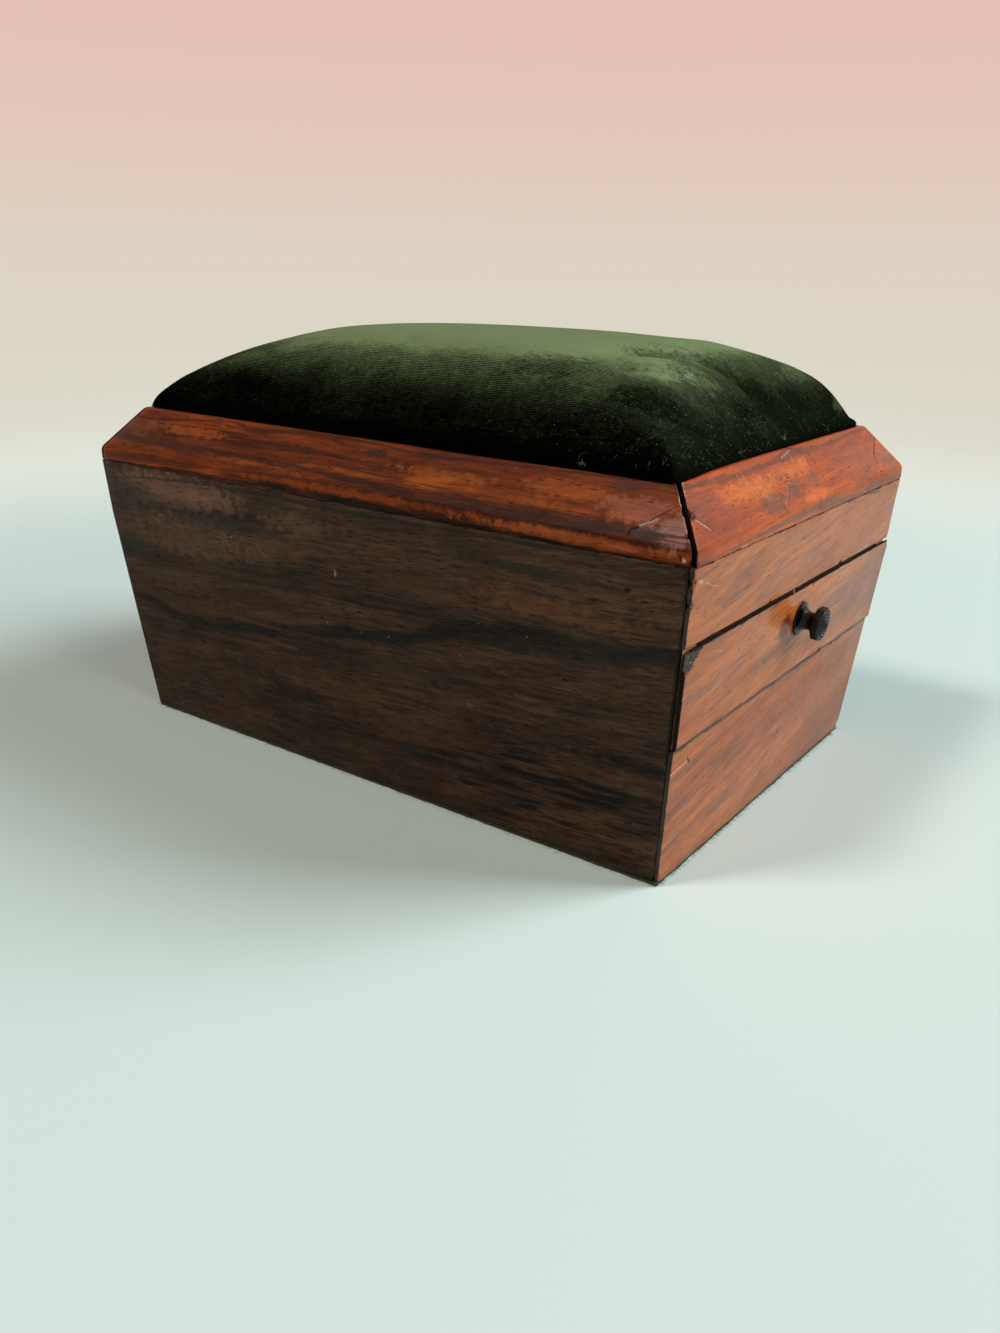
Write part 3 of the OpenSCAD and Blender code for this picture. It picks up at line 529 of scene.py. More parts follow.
woods = {
    "sideRosewood": {
        "order": (0, 1, 2), "tilt": 0.06, "seed": 4.0,
        "light": (0.093, 0.044, 0.021), "middle": (0.052, 0.027, 0.0155), "dark": (0.009, 0.008, 0.007), "mottle": 0.5,
        "figure": {"Streaks": 0.5, "Lines": 0.6, "Ticks": 0.4, "Pores": 1.0, "Wander": 9.0, "Blotches": 0.5, "Fibres": 0.45},
        "shade": [(0, 0.78), (20, 0.76), (36, 0.82), (50, 0.95), (62, 1.1), (74, 1.2)],  # height in mm and brightness
        "roughness": 0.50, "gloss": 0.10, "coat": 0.0, "rubbed": (0.085, 0.055, 0.04), "rubbing": 0.3, "cover": 0.1,
        # a dark band across the side: place along, middle height and half thickness
        "bands": [((0, 2), (0.005, 0.007, 0.006), 0.9, [(-92, 35.5, 1.2), (-79, 34.2, 1.5), (-62, 31.5, 2.0), (-38, 34.5, 1.9),
                   (-8, 39.8, 2.0), (15, 42.8, 2.4), (36, 49.5, 2.8), (50, 50.4, 3.4), (70, 52.0, 3.8), (80, 53.5, 2.8), (92, 56, 1.8)]),
                  ((0, 2), (0.090, 0.042, 0.016), 0.6, [(-92, 37.5, 0.3), (-79, 36.9, 1.1), (-62, 35.4, 1.4), (-45, 36.6, 1.0), (-30, 36.4, 0.5),
                   (92, 50, 0.2)]),
                  ((0, 2), (0.010, 0.010, 0.008), 0.7, [(-92, 68, 0.2), (-60, 71.2, 0.4), (-30, 71.9, 0.6), (10, 71.6, 0.5), (60, 72.4, 0.4), (92, 72.6, 0.5)])],
        # soft areas: centre, size, colour, strength, how ragged
        "spots": [((-60, -61, 68), (32, 9, 6.5), (0.185, 0.092, 0.055), 0.75, 0.8), ((-62, -60, 69), (13, 6, 3.6), (0.19, 0.080, 0.055), 0.55, 0.5),
                  ((-78, -61, 65), (15, 9, 4.5), (0.034, 0.030, 0.023), 0.75, 0.8), ((-46, -61, 61.5), (32, 9, 3.2), (0.040, 0.033, 0.024), 0.7, 0.8),
                  ((-84, -60, 50), (9, 9, 4), (0.022, 0.020, 0.016), 0.75, 0.9), ((-56, -60, 56), (28, 9, 7), (0.145, 0.078, 0.042), 0.65, 0.9), ((-66, -60, 42), (20, 9, 5), (0.09, 0.055, 0.036), 0.5, 0.7),
                  ((-15, -60, 66), (16, 9, 3), (0.13, 0.078, 0.040), 0.5, 0.9), ((-26, -60, 59), (9, 9, 3), (0.12, 0.072, 0.035), 0.45, 0.9),
                  ((56, -60, 59), (30, 9, 3.0), (0.145, 0.052, 0.022), 0.6, 0.9), ((22, -60, 57), (22, 9, 3.0), (0.11, 0.052, 0.024), 0.45, 0.9),
                  ((-20, -60, 27), (26, 9, 3), (0.085, 0.038, 0.016), 0.45, 0.9), ((20, -60, 34), (30, 9, 4), (0.06, 0.036, 0.02), 0.35, 0.9),
                  ((-68, -60, 22), (16, 9, 6), (0.062, 0.036, 0.026), 0.5, 0.9), ((-40, -60, 22), (18, 9, 3), (0.010, 0.009, 0.008), 0.6, 0.8),
                  ((50, -60, 66.6), (30, 9, 1.7), (0.012, 0.013, 0.011), 0.7, 0.6), ((79, -57, 28.6), (13, 9, 1.8), (0.006, 0.006, 0.006), 0.85, 0.7),
                  ((24, -60, 13), (26, 9, 3.5), (0.007, 0.007, 0.006), 0.6, 0.8),
                  ((-3.7, -60.7, 55.8), (0.6, 2, 1.1), (0.60, 0.24, 0.19), 1.0, 0.15), ((-39.5, -60, 59), (0.5, 2, 0.5), (0.35, 0.13, 0.05), 0.9, 0.3),
                  ((75.8, -61.8, 66.7), (0.8, 1.5, 0.4), (0.003, 0.003, 0.003), 1.0, 0.2), ((35, -58.1, 31.1), (1.4, 2, 0.9), (0.17, 0.10, 0.07), 0.5, 0.7),
                  ((61, -59.4, 43.8), (1.2, 2, 0.6), (0.002, 0.002, 0.002), 0.9, 0.5)],
        # crossing streaks in two colours: centre, size, lean, strength, light colour, dark colour
        "zones": [((52, -57, 15), (52, 20, 16), 0.075, 0.9, (0.098, 0.042, 0.021), (0.004, 0.004, 0.004)),
                  ((-5, -57, 22), (44, 20, 12), 0.03, 0.55, (0.085, 0.038, 0.019), (0.006, 0.005, 0.005)),
                  ((52, -57, 34), (44, 20, 9), 0.02, 0.45, (0.088, 0.048, 0.024), (0.007, 0.006, 0.006))],
        # start, end, width, colour, strength
        "scratches": [((44, -59.1, 40.0), (54.7, -59.4, 42.9), 0.13, dirtAndShade, 0.7), ((54.7, -59.4, 42.9), (59.8, -59.5, 44.6), 0.16, dirtAndShade, 0.8),
                      ((88, -62, 66), (81, -61.7, 66.8), 0.25, dirtAndShade, 0.6), ((56, -61, 60.5), (55.2, -61, 55), 0.14, (0.12, 0.08, 0.055), 0.5),
                      ((81, -60, 43), (76, -60, 43.6), 0.14, dirtAndShade, 0.6), ((89.3, -62.6, 73.3), (88.6, -61.8, 67.0), 1.1, dirtAndShade, 1.0),
                      ((88.6, -61.8, 67.0), (87.5, -60.5, 56.0), 0.6, dirtAndShade, 0.95), ((87.5, -60.5, 56.0), (85.4, -58.1, 31.0), 0.8, dirtAndShade, 1.0),
                      ((85.4, -58.1, 31.0), (83.2, -55.1, 1.0), 0.4, dirtAndShade, 0.9)],
        "specks": 0.8},
    "endRosewood": {
        "order": (1, 0, 2), "tilt": 0.13, "seed": 21.0,
        "light": (0.455, 0.124, 0.024), "middle": (0.305, 0.072, 0.012), "dark": (0.100, 0.042, 0.026), "mottle": 0.18, "edges": (0.030, 0.018, 0.012),
        "figure": {"Streaks": 0.6, "Lines": 0.5, "Ticks": 0.2, "Pores": 0.45, "Wander": 5.0, "Blotches": 0.25, "Fibres": 0.22},
        "shade": [(0, 0.85), (15, 0.95), (40, 1.0), (74, 1.0)],
        "roughness": 0.40, "gloss": 0.10, "coat": 0.45, "rubbed": (0.36, 0.19, 0.13), "rubbing": 0.5, "cover": 0.12,
        # dark lines along the drawer's two gaps: painted shade of the gaps, with dust
        "bands": [((1, 2), dirtAndShade, 1.0, [(-65, 33.9, 0.95), (-20, 33.9, 0.8), (30, 33.9, 0.9), (65, 33.9, 0.75)]),
                  ((1, 2), dirtAndShade, 0.9, [(-65, 56.8, 0.30), (65, 56.8, 0.25)])],
        "spots": [((86.2, -57.8, 22), (3, 14, 2.0), (0.14, 0.075, 0.06), 0.5, 0.7), ((85, -30, 10), (3, 20, 1.6), (0.15, 0.07, 0.055), 0.5, 0.7),
                  ((85, 52, 14), (12, 44, 20), (0.17, 0.055, 0.025), 0.45, 0.5)],
        "zones": [((86, -20, 14), (20, 60, 18), 0.17, 0.4, (0.46, 0.12, 0.030), (0.100, 0.050, 0.045)),
                  ((90, -40, 65), (20, 40, 12), 0.17, 0.45, (0.45, 0.13, 0.030), (0.110, 0.060, 0.055))],
        "scratches": [((89.8, -59.4, 70.5), (89.7, -58.0, 69.9), 0.4, pale, 0.7), ((89.6, -56.5, 69.4), (89.4, -50.2, 67.4), 0.25, pale, 0.5),
                      ((86.1, -57.8, 28.4), (86.1, -50.5, 29.0), 0.28, pale, 0.8), ((90, 35.1, 72.9), (89.9, 44.1, 72.3), 0.45, dirtAndShade, 1.0),
                      ((86.2, -50.5, 29.8), (86.2, -49.4, 28.6), 0.45, dirtAndShade, 1.0), ((89.9, -62.4, 72.5), (89.1, -61.6, 65.5), 0.7, dirtAndShade, 0.9),
                      ((89.1, -61.6, 65.5), (88.2, -60.4, 57.0), 0.35, dirtAndShade, 0.8), ((86.4, -58.3, 33.8), (83.5, -55.0, 1.0), 0.3, dirtAndShade, 0.8)],
        "specks": 0.3},
    "leftRim": {
        "order": (0, 1, 2), "tilt": 0.0, "seed": 57.0,
        "light": (0.34, 0.060, 0.008), "middle": (0.165, 0.032, 0.006), "dark": (0.024, 0.010, 0.007), "mottle": 0.38,
        "figure": {"Streaks": 0.75, "Lines": 0.8, "Ticks": 0.3, "Pores": 0.6, "Wander": 3.0, "Blotches": 0.35, "Fibres": 0.3},
        "shade": [(0, 1.0), (100, 1.0)],
        "roughness": 0.38, "gloss": 0.05, "coat": 0.04, "rubbed": (0.36, 0.16, 0.10), "rubbing": 0.4, "cover": 0.25,
        "bands": [((0, 2), (0.038, 0.015, 0.011), 0.85, [(-92, 80.4, 0.5), (-82, 80.0, 0.9), (-62, 79.7, 1.0), (-27, 79.7, 0.8), (7, 78.8, 0.7), (23, 78.2, 0.9),
                   (32, 78.0, 1.1), (53, 77.7, 1.2), (64, 77.8, 1.1), (76, 78.2, 0.6), (92, 78.6, 0.1)]),
                  ((0, 2), (0.075, 0.022, 0.014), 0.8, [(-92, 75.0, 0.9), (-72, 75.4, 0.9), (-50, 76.0, 0.7), (-25, 77.0, 0.35), (92, 77.6, 0.2)]),
                  ((0, 2), (0.022, 0.011, 0.009), 0.7, [(-92, 85.6, 0.2), (-70, 85.2, 0.5), (-57, 86.0, 0.35), (-44, 86.7, 0.3), (-36, 85.5, 0.7), (-22, 86.6, 0.5),
                   (0, 86.5, 0.3), (21, 85.6, 0.7), (34, 85.9, 0.4), (92, 86.8, 0.3)]),
                  ((0, 2), (0.004, 0.003, 0.003), 1.0, [(-92, 73.4, 0.25), (-64, 73.8, 0.5), (-38, 74.1, 0.9), (-12, 74.3, 1.2), (10, 74.0, 1.0), (30, 73.7, 0.7),
                   (60, 73.6, 0.5), (92, 73.5, 0.5)])],
        "spots": [((-56, -57, 83.4), (15, 8, 1.5), (0.42, 0.095, 0.018), 0.75, 0.8), ((-33, -58, 78.8), (14, 8, 1.0), (0.40, 0.090, 0.018), 0.7, 0.8),
                  ((2, -62, 76.0), (44, 8, 1.3), (0.33, 0.062, 0.009), 0.75, 0.95), ((58, -57, 83.3), (14, 8, 2.0), (0.50, 0.11, 0.016), 0.8, 0.7),
                  ((62, -62, 75.4), (30, 8, 1.3), (0.46, 0.11, 0.032), 0.8, 0.8), ((6, -56, 84.8), (4.5, 6, 1.0), (0.045, 0.024, 0.018), 0.85, 0.7),
                  ((28, -56, 82.4), (17, 8, 1.4), (0.48, 0.115, 0.02), 0.6, 0.8), ((70.5, -56.6, 85.2), (4.5, 6, 1.4), (0.085, 0.036, 0.026), 0.7, 0.7),
                  ((75, -58, 81.8), (10, 8, 3.0), (0.42, 0.13, 0.072), 0.75, 0.7), ((84.4, -60, 79.3), (5.2, 6, 4.2), (0.50, 0.23, 0.18), 0.75, 0.7),
                  ((-80, -60, 82), (15, 8, 5), (0.19, 0.078, 0.036), 0.6, 0.8), ((79.5, -60, 78.2), (4, 6, 1.2), (0.14, 0.075, 0.068), 0.7, 0.7)],
        "zones": [((20, -58, 79.5), (60, 9, 3.5), 0.0, 0.6, (0.44, 0.105, 0.018), (0.028, 0.013, 0.010))],
        "scratches": [((75.2, -61.8, 77.5), (75.3, -60.9, 78.5), 0.32, dirtAndShade, 1.0), ((75.3, -60.9, 78.5), (77.7, -60.2, 79.4), 0.3, dirtAndShade, 1.0),
                      ((77.7, -60.2, 79.4), (79.2, -59.0, 80.8), 0.26, dirtAndShade, 0.9), ((79.2, -59.0, 80.8), (82.4, -57.2, 83.0), 0.2, dirtAndShade, 0.7),
                      ((76.9, -60.3, 79.2), (80.0, -59.0, 80.7), 0.45, pale, 0.6), ((81.5, -61.2, 78.6), (82.5, -60.0, 79.6), 0.3, pale, 0.4),
                      ((87.6, -62.4, 74.6), (84.6, -57.2, 82.3), 0.55, (0.75, 0.50, 0.45), 0.9), ((83.6, -56.8, 83.4), (80.6, -53.4, 86.6), 0.4, (0.60, 0.40, 0.34), 0.8),
                      ((89.4, -62.5, 74.2), (84.8, -57.3, 82.4), 0.28, dirtAndShade, 0.9), ((86.8, -62.5, 75.5), (87.3, -62.5, 74.5), 0.3, dirtAndShade, 0.9)],
        "specks": 0.6},
    "frontRim": {
        "order": (1, 0, 2), "tilt": 0.04, "seed": 83.0,
        "light": (0.56, 0.100, 0.011), "middle": (0.33, 0.058, 0.009), "dark": (0.085, 0.028, 0.016), "mottle": 0.28,
        "figure": {"Streaks": 0.4, "Lines": 0.4, "Ticks": 0.22, "Pores": 0.45, "Wander": 5.0, "Blotches": 0.45, "Fibres": 0.22},
        "shade": [(0, 1.0), (100, 1.0)],
        "roughness": 0.34, "gloss": 0.10, "coat": 0.18, "rubbed": (0.62, 0.36, 0.26), "rubbing": 0.55, "cover": 0.45,
        "bands": [((1, 2), (0.07, 0.03, 0.02), 0.75, [(-65, 86.8, 0.3), (-50, 86.2, 0.8), (-27, 85.4, 0.7), (3, 86.3, 0.8), (20, 86.0, 0.6), (40, 86.6, 0.4), (65, 86.8, 0.2)]),
                  ((1, 2), (0.11, 0.052, 0.040), 0.8, [(-65, 73.8, 0.3), (-28, 74.7, 0.6), (-10, 75.2, 1.3), (6, 75.2, 1.3), (20, 74.2, 0.7), (45, 74.6, 0.8), (65, 74.2, 0.6)]),
                  ((1, 2), (0.006, 0.004, 0.003), 0.9, [(-65, 73.3, 0.35), (-20, 73.4, 0.3), (20, 73.4, 0.4), (65, 73.3, 0.35)])],
        "spots": [((88, -22, 79.0), (6, 8, 2.8), (0.11, 0.052, 0.036), 0.85, 0.9), ((87, -9, 80.2), (6, 7, 2.2), (0.13, 0.060, 0.042), 0.8, 0.9),
                  ((87, 3, 80.6), (6, 5, 2.2), (0.15, 0.07, 0.05), 0.6, 0.9), ((84.3, -3, 83.6), (5, 12, 1.9), (0.60, 0.14, 0.024), 0.7, 0.9),
                  ((89, 0, 77.7), (4, 9, 1.8), (0.64, 0.15, 0.026), 0.75, 0.9), ((85, -30, 82.5), (5, 16, 2.6), (0.62, 0.17, 0.034), 0.6, 0.9),
                  ((86.5, 36, 81), (6, 22, 5.2), (0.30, 0.080, 0.040), 0.8, 0.7), ((88, 53, 79), (5, 6, 4.5), (0.27, 0.11, 0.060), 0.75, 0.5),
                  ((86.6, -41.5, 80.6), (4, 2.4, 1.2), (0.17, 0.075, 0.05), 0.55, 0.9), ((84.5, -50, 83), (5, 12, 3.8), (0.17, 0.045, 0.024), 0.85, 0.8),
                  ((88, -46, 78.4), (4, 14, 4.0), (0.26, 0.052, 0.017), 0.75, 0.8), ((85.3, -56.6, 81.7), (1.6, 1.3, 0.9), (0.004, 0.003, 0.003), 1.0, 0.5)],
        "zones": [],
        "scratches": [((85.9, -57.0, 81.6), (88.1, -53.0, 78.8), 0.34, pale, 0.85), ((84.6, -55.8, 82.4), (86.6, -52.0, 80.6), 0.22, pale, 0.4),
                      ((83.5, 53.8, 84.4), (86.3, 46.7, 81.1), 0.34, dirtAndShade, 1.0), ((86.3, 46.7, 81.1), (87.9, 45.0, 79.2), 0.3, dirtAndShade, 1.0),
                      ((82.1, -5.9, 86.1), (81.5, -0.3, 86.9), 0.35, pale, 0.5), ((81.8, -0.9, 86.5), (83.2, -2.0, 84.7), 0.2, pale, 0.4),
                      ((88.8, -17.3, 78.1), (86.9, -12.5, 80.3), 0.16, pale, 0.5), ((89.6, -61.4, 74.4), (86.9, -58.6, 78.8), 0.45, (0.70, 0.46, 0.40), 0.9)],
        "webs": ((85, -22, 82.6), (7, 26, 4.6), (0.80, 0.38, 0.10), 0.55),  # a net of fine pale scratches: centre, size, colour, strength
        "specks": 0.5},
    "mahogany": {
        "order": (0, 1, 2), "tilt": 0.02, "seed": 8.0,
        "light": (0.26, 0.10, 0.045), "middle": (0.17, 0.060, 0.028), "dark": (0.06, 0.025, 0.014),
        "figure": {"Streaks": 0.3, "Lines": 0.25, "Ticks": 0.2, "Pores": 0.8, "Wander": 5.0, "Blotches": 0.2, "Fibres": 0.25},
        "shade": [(0, 1.0), (100, 1.0)],
        "roughness": 0.55, "gloss": 0.25, "coat": 0.0, "rubbed": (0.3, 0.15, 0.09), "rubbing": 0.0, "cover": 0.0,
        "bands": [], "spots": [], "zones": [], "scratches": [], "specks": 0.0},
    "pine": {
        "order": (0, 1, 2), "tilt": 0.02, "seed": 15.0,
        "light": (0.52, 0.33, 0.15), "middle": (0.42, 0.24, 0.10), "dark": (0.22, 0.10, 0.04),
        "figure": {"Streaks": 0.3, "Lines": 0.7, "Ticks": 0.1, "Pores": 0.1, "Wander": 7.0, "Blotches": 0.3, "Fibres": 0.15},
        "shade": [(0, 1.0), (100, 1.0)],
        "roughness": 0.65, "gloss": 0.2, "coat": 0.0, "rubbed": (0.5, 0.3, 0.15), "rubbing": 0.0, "cover": 0.0,
        "bands": [], "spots": [], "zones": [], "scratches": [], "specks": 0.0},
}
# dark lines along the drawer's two gaps: painted shade of the gaps, with dust
woods["drawerRosewood"] = {**woods["endRosewood"], "seed": 33.0, "bands": [((1, 2), dirtAndShade, 1.0, [(-65, 34.5, 0.6), (65, 34.5, 0.5)]),
    ((1, 2), dirtAndShade, 0.9, [(-65, 56.2, 0.35), (65, 56.2, 0.25)])],
    # the second spot, just left of the knob, is painted shadow and painted reflection: the knob's cast shadow and its
    # dark reflection in the polished face
    "spots": [((89, 52, 45), (12, 30, 20), (0.21, 0.085, 0.045), 0.4, 0.5), ((88.8, -8.5, 48.0), (2, 5.0, 4.6), (0.100, 0.014, 0.005), 0.97, 0.3),
    ((88, -50, 45), (3, 16, 1.4), (0.15, 0.07, 0.055), 0.5, 0.7),
    ((88, -10, 44), (3, 10, 1.6), (0.16, 0.075, 0.05), 0.45, 0.7)],
    "zones": [((88, -40, 44), (20, 40, 9), 0.16, 0.45, (0.46, 0.13, 0.034), (0.110, 0.060, 0.055))],
    "scratches": [((88.8, -46.9, 52.9), (88.8, -44.0, 52.2), 0.35, pale, 0.4), ((89.1, 20, 56), (89.1, 28, 56.1), 0.3, pale, 0.5),
                  # next, the dark line down the drawer's near edge: painted shade in the gap
                  ((89.3, -60.9, 56.4), (87.1, -58.5, 34.2), 0.55, dirtAndShade, 1.0), ((88.6, -15.2, 46.4), (88.6, -14.8, 46.6), 0.3, (0.95, 0.9, 0.85), 1.0)]}
# Boards behind the drawer's edges, dark in the two gaps: dust, with painted shade where little light gets in
grimeLines = [((1, 2), dirtAndShade, 1.0, [(-65, 56.5, 1.1), (65, 56.5, 1.1)]), ((1, 2), dirtAndShade, 1.0, [(-65, 34.0, 1.1), (65, 34.0, 1.1)])]
woods["grimyPine"] = {**woods["pine"], "bands": grimeLines}
woods["grimyMahogany"] = {**woods["mahogany"], "bands": grimeLines}


def bandMask(tree, place, axes, points):
    # how near the surface is to a line drawn through points of place along, height and half thickness
    parts = addNode(tree, "ShaderNodeSeparateXYZ", {0: place}).outputs
    low, high = points[0][0], points[-1][0]
    along = mapRange(tree, parts[axes[0]], low, high)
    middle = mathNode(tree, "MULTIPLY", curveNode(tree, along, [((x - low) / (high - low), z / 100) for x, z, half in points]), 100)
    half = mathNode(tree, "MULTIPLY", curveNode(tree, along, [((x - low) / (high - low), half / 10) for x, z, half in points]), 10)
    half = mathNode(tree, "MAXIMUM", half, 0.12)
    stretched = vectorNode(tree, "MULTIPLY", place, (0.10, 0.45, 0.45) if axes[0] == 0 else (0.45, 0.10, 0.45))
    sway = mathNode(tree, "MULTIPLY", mathNode(tree, "SUBTRACT", noiseNode(tree, stretched, 1.0, 5, 0.7), 0.5), 3.0)
    away = mathNode(tree, "ABSOLUTE", mathNode(tree, "SUBTRACT", parts[axes[1]], middle))
    reach = mathNode(tree, "ADD", mathNode(tree, "DIVIDE", away, half), sway)
    return mapRange(tree, reach, 0.35, 1.25, 1, 0, smooth=True)


def zoneColour(tree, groups, place, along, depth, height, colour, zone):
    centre, size, lean, strength, light, dark = zone
    level = mathNode(tree, "SUBTRACT", height, mathNode(tree, "MULTIPLY", along, lean))
    leaned = addNode(tree, "ShaderNodeCombineXYZ", {0: along, 1: depth, 2: level}).outputs[0]
    weave = noiseNode(tree, vectorNode(tree, "MULTIPLY", leaned, (0.055, 0.5, 0.62)), 1.0, 5, 0.68)
    mask = groupNode(tree, groups["spot"], {"Vector": place, "Centre": centre, "Size": size, "Ragged": 0.6}).outputs[0]
    mask = mathNode(tree, "MULTIPLY", mask, strength)
    lightMask = mathNode(tree, "MULTIPLY", mask, mapRange(tree, weave, 0.50, 0.40, smooth=True))
    darkMask = mathNode(tree, "MULTIPLY", mask, mapRange(tree, weave, 0.50, 0.60, smooth=True))
    return mixColours(tree, darkMask, mixColours(tree, lightMask, colour, light), dark)


def webMask(tree, place):
    # three crossing sets of hair lines, broken here and there
    found = None
    for turn, spacing in ((0.5, 0.42), (1.35, 0.36), (2.4, 0.5)):
        lean = vectorNode(tree, "DOT_PRODUCT", place, (0.0, math.cos(turn), math.sin(turn)))
        bend = mathNode(tree, "MULTIPLY", noiseNode(tree, place, 0.16, 3, 0.6), 9.0)
        wave = mathNode(tree, "ABSOLUTE", mathNode(tree, "SINE", mathNode(tree, "MULTIPLY", mathNode(tree, "ADD", lean, bend), spacing * 3.0)))
        line = mapRange(tree, wave, 0.035, 0.10, 1, 0, smooth=True)
        shown = mapRange(tree, noiseNode(tree, vectorNode(tree, "ADD", place, (turn * 9, 0, 0)), 0.3, 3, 0.6), 0.50, 0.60, smooth=True)
        line = mathNode(tree, "MULTIPLY", line, shown)
        found = mathNode(tree, "MAXIMUM", found, line) if found else line
    return found


def makeRosewood(name, groups):
    wood = woods[name]
    material, tree, surface = newMaterial(name)
    place = vectorNode(tree, "MULTIPLY", addNode(tree, "ShaderNodeTexCoord").outputs["Object"], (1000, 1000, 1000))
    parts = addNode(tree, "ShaderNodeSeparateXYZ", {0: place}).outputs
    along, depth, height = (parts[k] for k in wood["order"])
    level = mathNode(tree, "SUBTRACT", height, mathNode(tree, "MULTIPLY", along, wood["tilt"]))
    turned = addNode(tree, "ShaderNodeCombineXYZ", {0: along, 1: depth, 2: level}).outputs[0]
    turned = vectorNode(tree, "ADD", turned, (wood["seed"] * 10, wood["seed"], wood["seed"] * 3))
    grain = groupNode(tree, groups["figure"], {"Vector": turned, "Light": wood["light"], "Middle": wood["middle"],
                      "Dark": wood["dark"], **wood["figure"]}).outputs
    colour = grain["Color"]
    lift = mathNode(tree, "MULTIPLY", grain["Height"], 0.08)
    fibres = mapRange(tree, noiseNode(tree, vectorNode(tree, "MULTIPLY", turned, (0.2, 3.0, 3.0)), 1.0, 3, 0.6), 0.3, 0.6, 0.5, 1.0)
    for zone in wood["zones"]:
        colour = zoneColour(tree, groups, place, along, depth, height, colour, zone)
    for centre, size, tint, strength, ragged in wood["spots"]:
        mask = groupNode(tree, groups["spot"], {"Vector": place, "Centre": centre, "Size": size, "Ragged": ragged}).outputs[0]
        if max(size) > 5:
            mask = mathNode(tree, "MULTIPLY", mask, fibres)
        tinted = mixColours(tree, mathNode(tree, "MULTIPLY", mask, strength), colour, tint)
        colour = mixColours(tree, mathNode(tree, "MULTIPLY", grain["Pore Mask"], 0.8), tinted, dirtAndShade) if max(size) > 5 else tinted
    for axes, tint, strength, points in wood["bands"]:
        mask = mathNode(tree, "MULTIPLY", bandMask(tree, place, axes, points), fibres)
        colour = mixColours(tree, mathNode(tree, "MULTIPLY", mask, strength), colour, tint)
    shade = curveNode(tree, mathNode(tree, "DIVIDE", parts[2], 100), [(z / 100, value / 2) for z, value in wood["shade"]])
    shade = mathNode(tree, "MULTIPLY", shade, 2)
    shadeColour = addNode(tree, "ShaderNodeCombineXYZ", {0: shade, 1: shade, 2: shade}).outputs[0]
    colour = mixColours(tree, 1.0, colour, shadeColour, "MULTIPLY")
    if "webs" in wood:
        centre, size, tint, strength = wood["webs"]
        mask = groupNode(tree, groups["spot"], {"Vector": place, "Centre": centre, "Size": size, "Ragged": 0.6}).outputs[0]
        mask = mathNode(tree, "MULTIPLY", mathNode(tree, "MULTIPLY", mask, webMask(tree, place)), strength)
        colour = mixColours(tree, mask, colour, tint)
    for start, end, width, tint, strength in wood["scratches"]:
        mask = groupNode(tree, groups["scratch"], {"Vector": place, "Start": start, "End": end, "Width": width}).outputs[0]
        mask = mathNode(tree, "MULTIPLY", mask, strength)
        colour = mixColours(tree, mask, colour, tint)
        lift = mathNode(tree, "SUBTRACT", lift, mathNode(tree, "MULTIPLY", mask, 0.25))
    if wood["specks"]:
        cells = addNode(tree, "ShaderNodeTexVoronoi", {"Vector": place, "Scale": 0.22, "Randomness": 1.0})
        speck = mapRange(tree, cells.outputs["Distance"], 0.022, 0.045, wood["specks"], 0)
        chance = addNode(tree, "ShaderNodeSeparateColor", {0: cells.outputs["Color"]}).outputs[1]
        colour = mixColours(tree, mathNode(tree, "MULTIPLY", speck, mapRange(tree, chance, 0.6, 0.65)), colour, (0.42, 0.33, 0.25))
    gloss = 1.0
    if wood["rubbing"]:
        edge = addNode(tree, "ShaderNodeAttribute", attribute_name="edgeDistance").outputs["Fac"]
        rubbed = groupNode(tree, groups["edges"], {"Vector": place, "Distance": edge, "Width": 0.45, "Scale": 0.16, "Cover": wood["cover"]}).outputs[0]
        colour = mixColours(tree, mathNode(tree, "MULTIPLY", rubbed, wood["rubbing"]), colour, wood["rubbed"])
        grime = groupNode(tree, groups["edges"], {"Vector": turned, "Distance": edge, "Width": 0.36, "Scale": 0.23, "Cover": 0.6}).outputs[0]
        colour = mixColours(tree, mathNode(tree, "MULTIPLY", grime, 0.9), colour, dirtAndShade)
        chipped = addNode(tree, "ShaderNodeAttribute", attribute_name="chipped").outputs["Fac"]
        crumbs = mapRange(tree, noiseNode(tree, place, 1.6, 4, 0.7), 0.4, 0.6, 0.35, 1.0)
        broken = mathNode(tree, "MULTIPLY", chipped, crumbs)
        colour = mixColours(tree, mathNode(tree, "MULTIPLY", broken, 0.9), colour, tuple(c * 0.25 for c in wood["middle"]))
        gloss = mathNode(tree, "SUBTRACT", 1.0, mathNode(tree, "MAXIMUM", broken, mathNode(tree, "MULTIPLY", grime, 0.8)), clamp=True)
    smears = noiseNode(tree, place, 0.07, 5, 0.65)
    if wood.get("mottle"):
        cloud = mapRange(tree, noiseNode(tree, vectorNode(tree, "MULTIPLY", turned, (0.05, 0.16, 0.16)), 1.0, 6, 0.72), 0.32, 0.68, -1, 1)
        tone = mathNode(tree, "ADD", mathNode(tree, "MULTIPLY", cloud, wood["mottle"]), 1.0)
        colour = mixColours(tree, 1.0, colour, addNode(tree, "ShaderNodeCombineXYZ", {0: tone, 1: tone, 2: tone}).outputs[0], "MULTIPLY")
    if wood.get("edges"):
        across = addNode(tree, "ShaderNodeSeparateXYZ", {0: addNode(tree, "ShaderNodeTexCoord").outputs["Normal"]}).outputs[1]
        colour = mixColours(tree, mapRange(tree, mathNode(tree, "ABSOLUTE", across), 0.35, 0.6), colour, wood["edges"])
    roughness = mathNode(tree, "ADD", mapRange(tree, smears, 0.3, 0.7, wood["roughness"] - 0.08, wood["roughness"] + 0.12),
                         mathNode(tree, "MULTIPLY", grain["Pore Mask"], 0.25))
    waves = noiseNode(tree, place, 0.10, 2, 0.5)
    lift = mathNode(tree, "ADD", lift, mathNode(tree, "MULTIPLY", waves, 0.35))
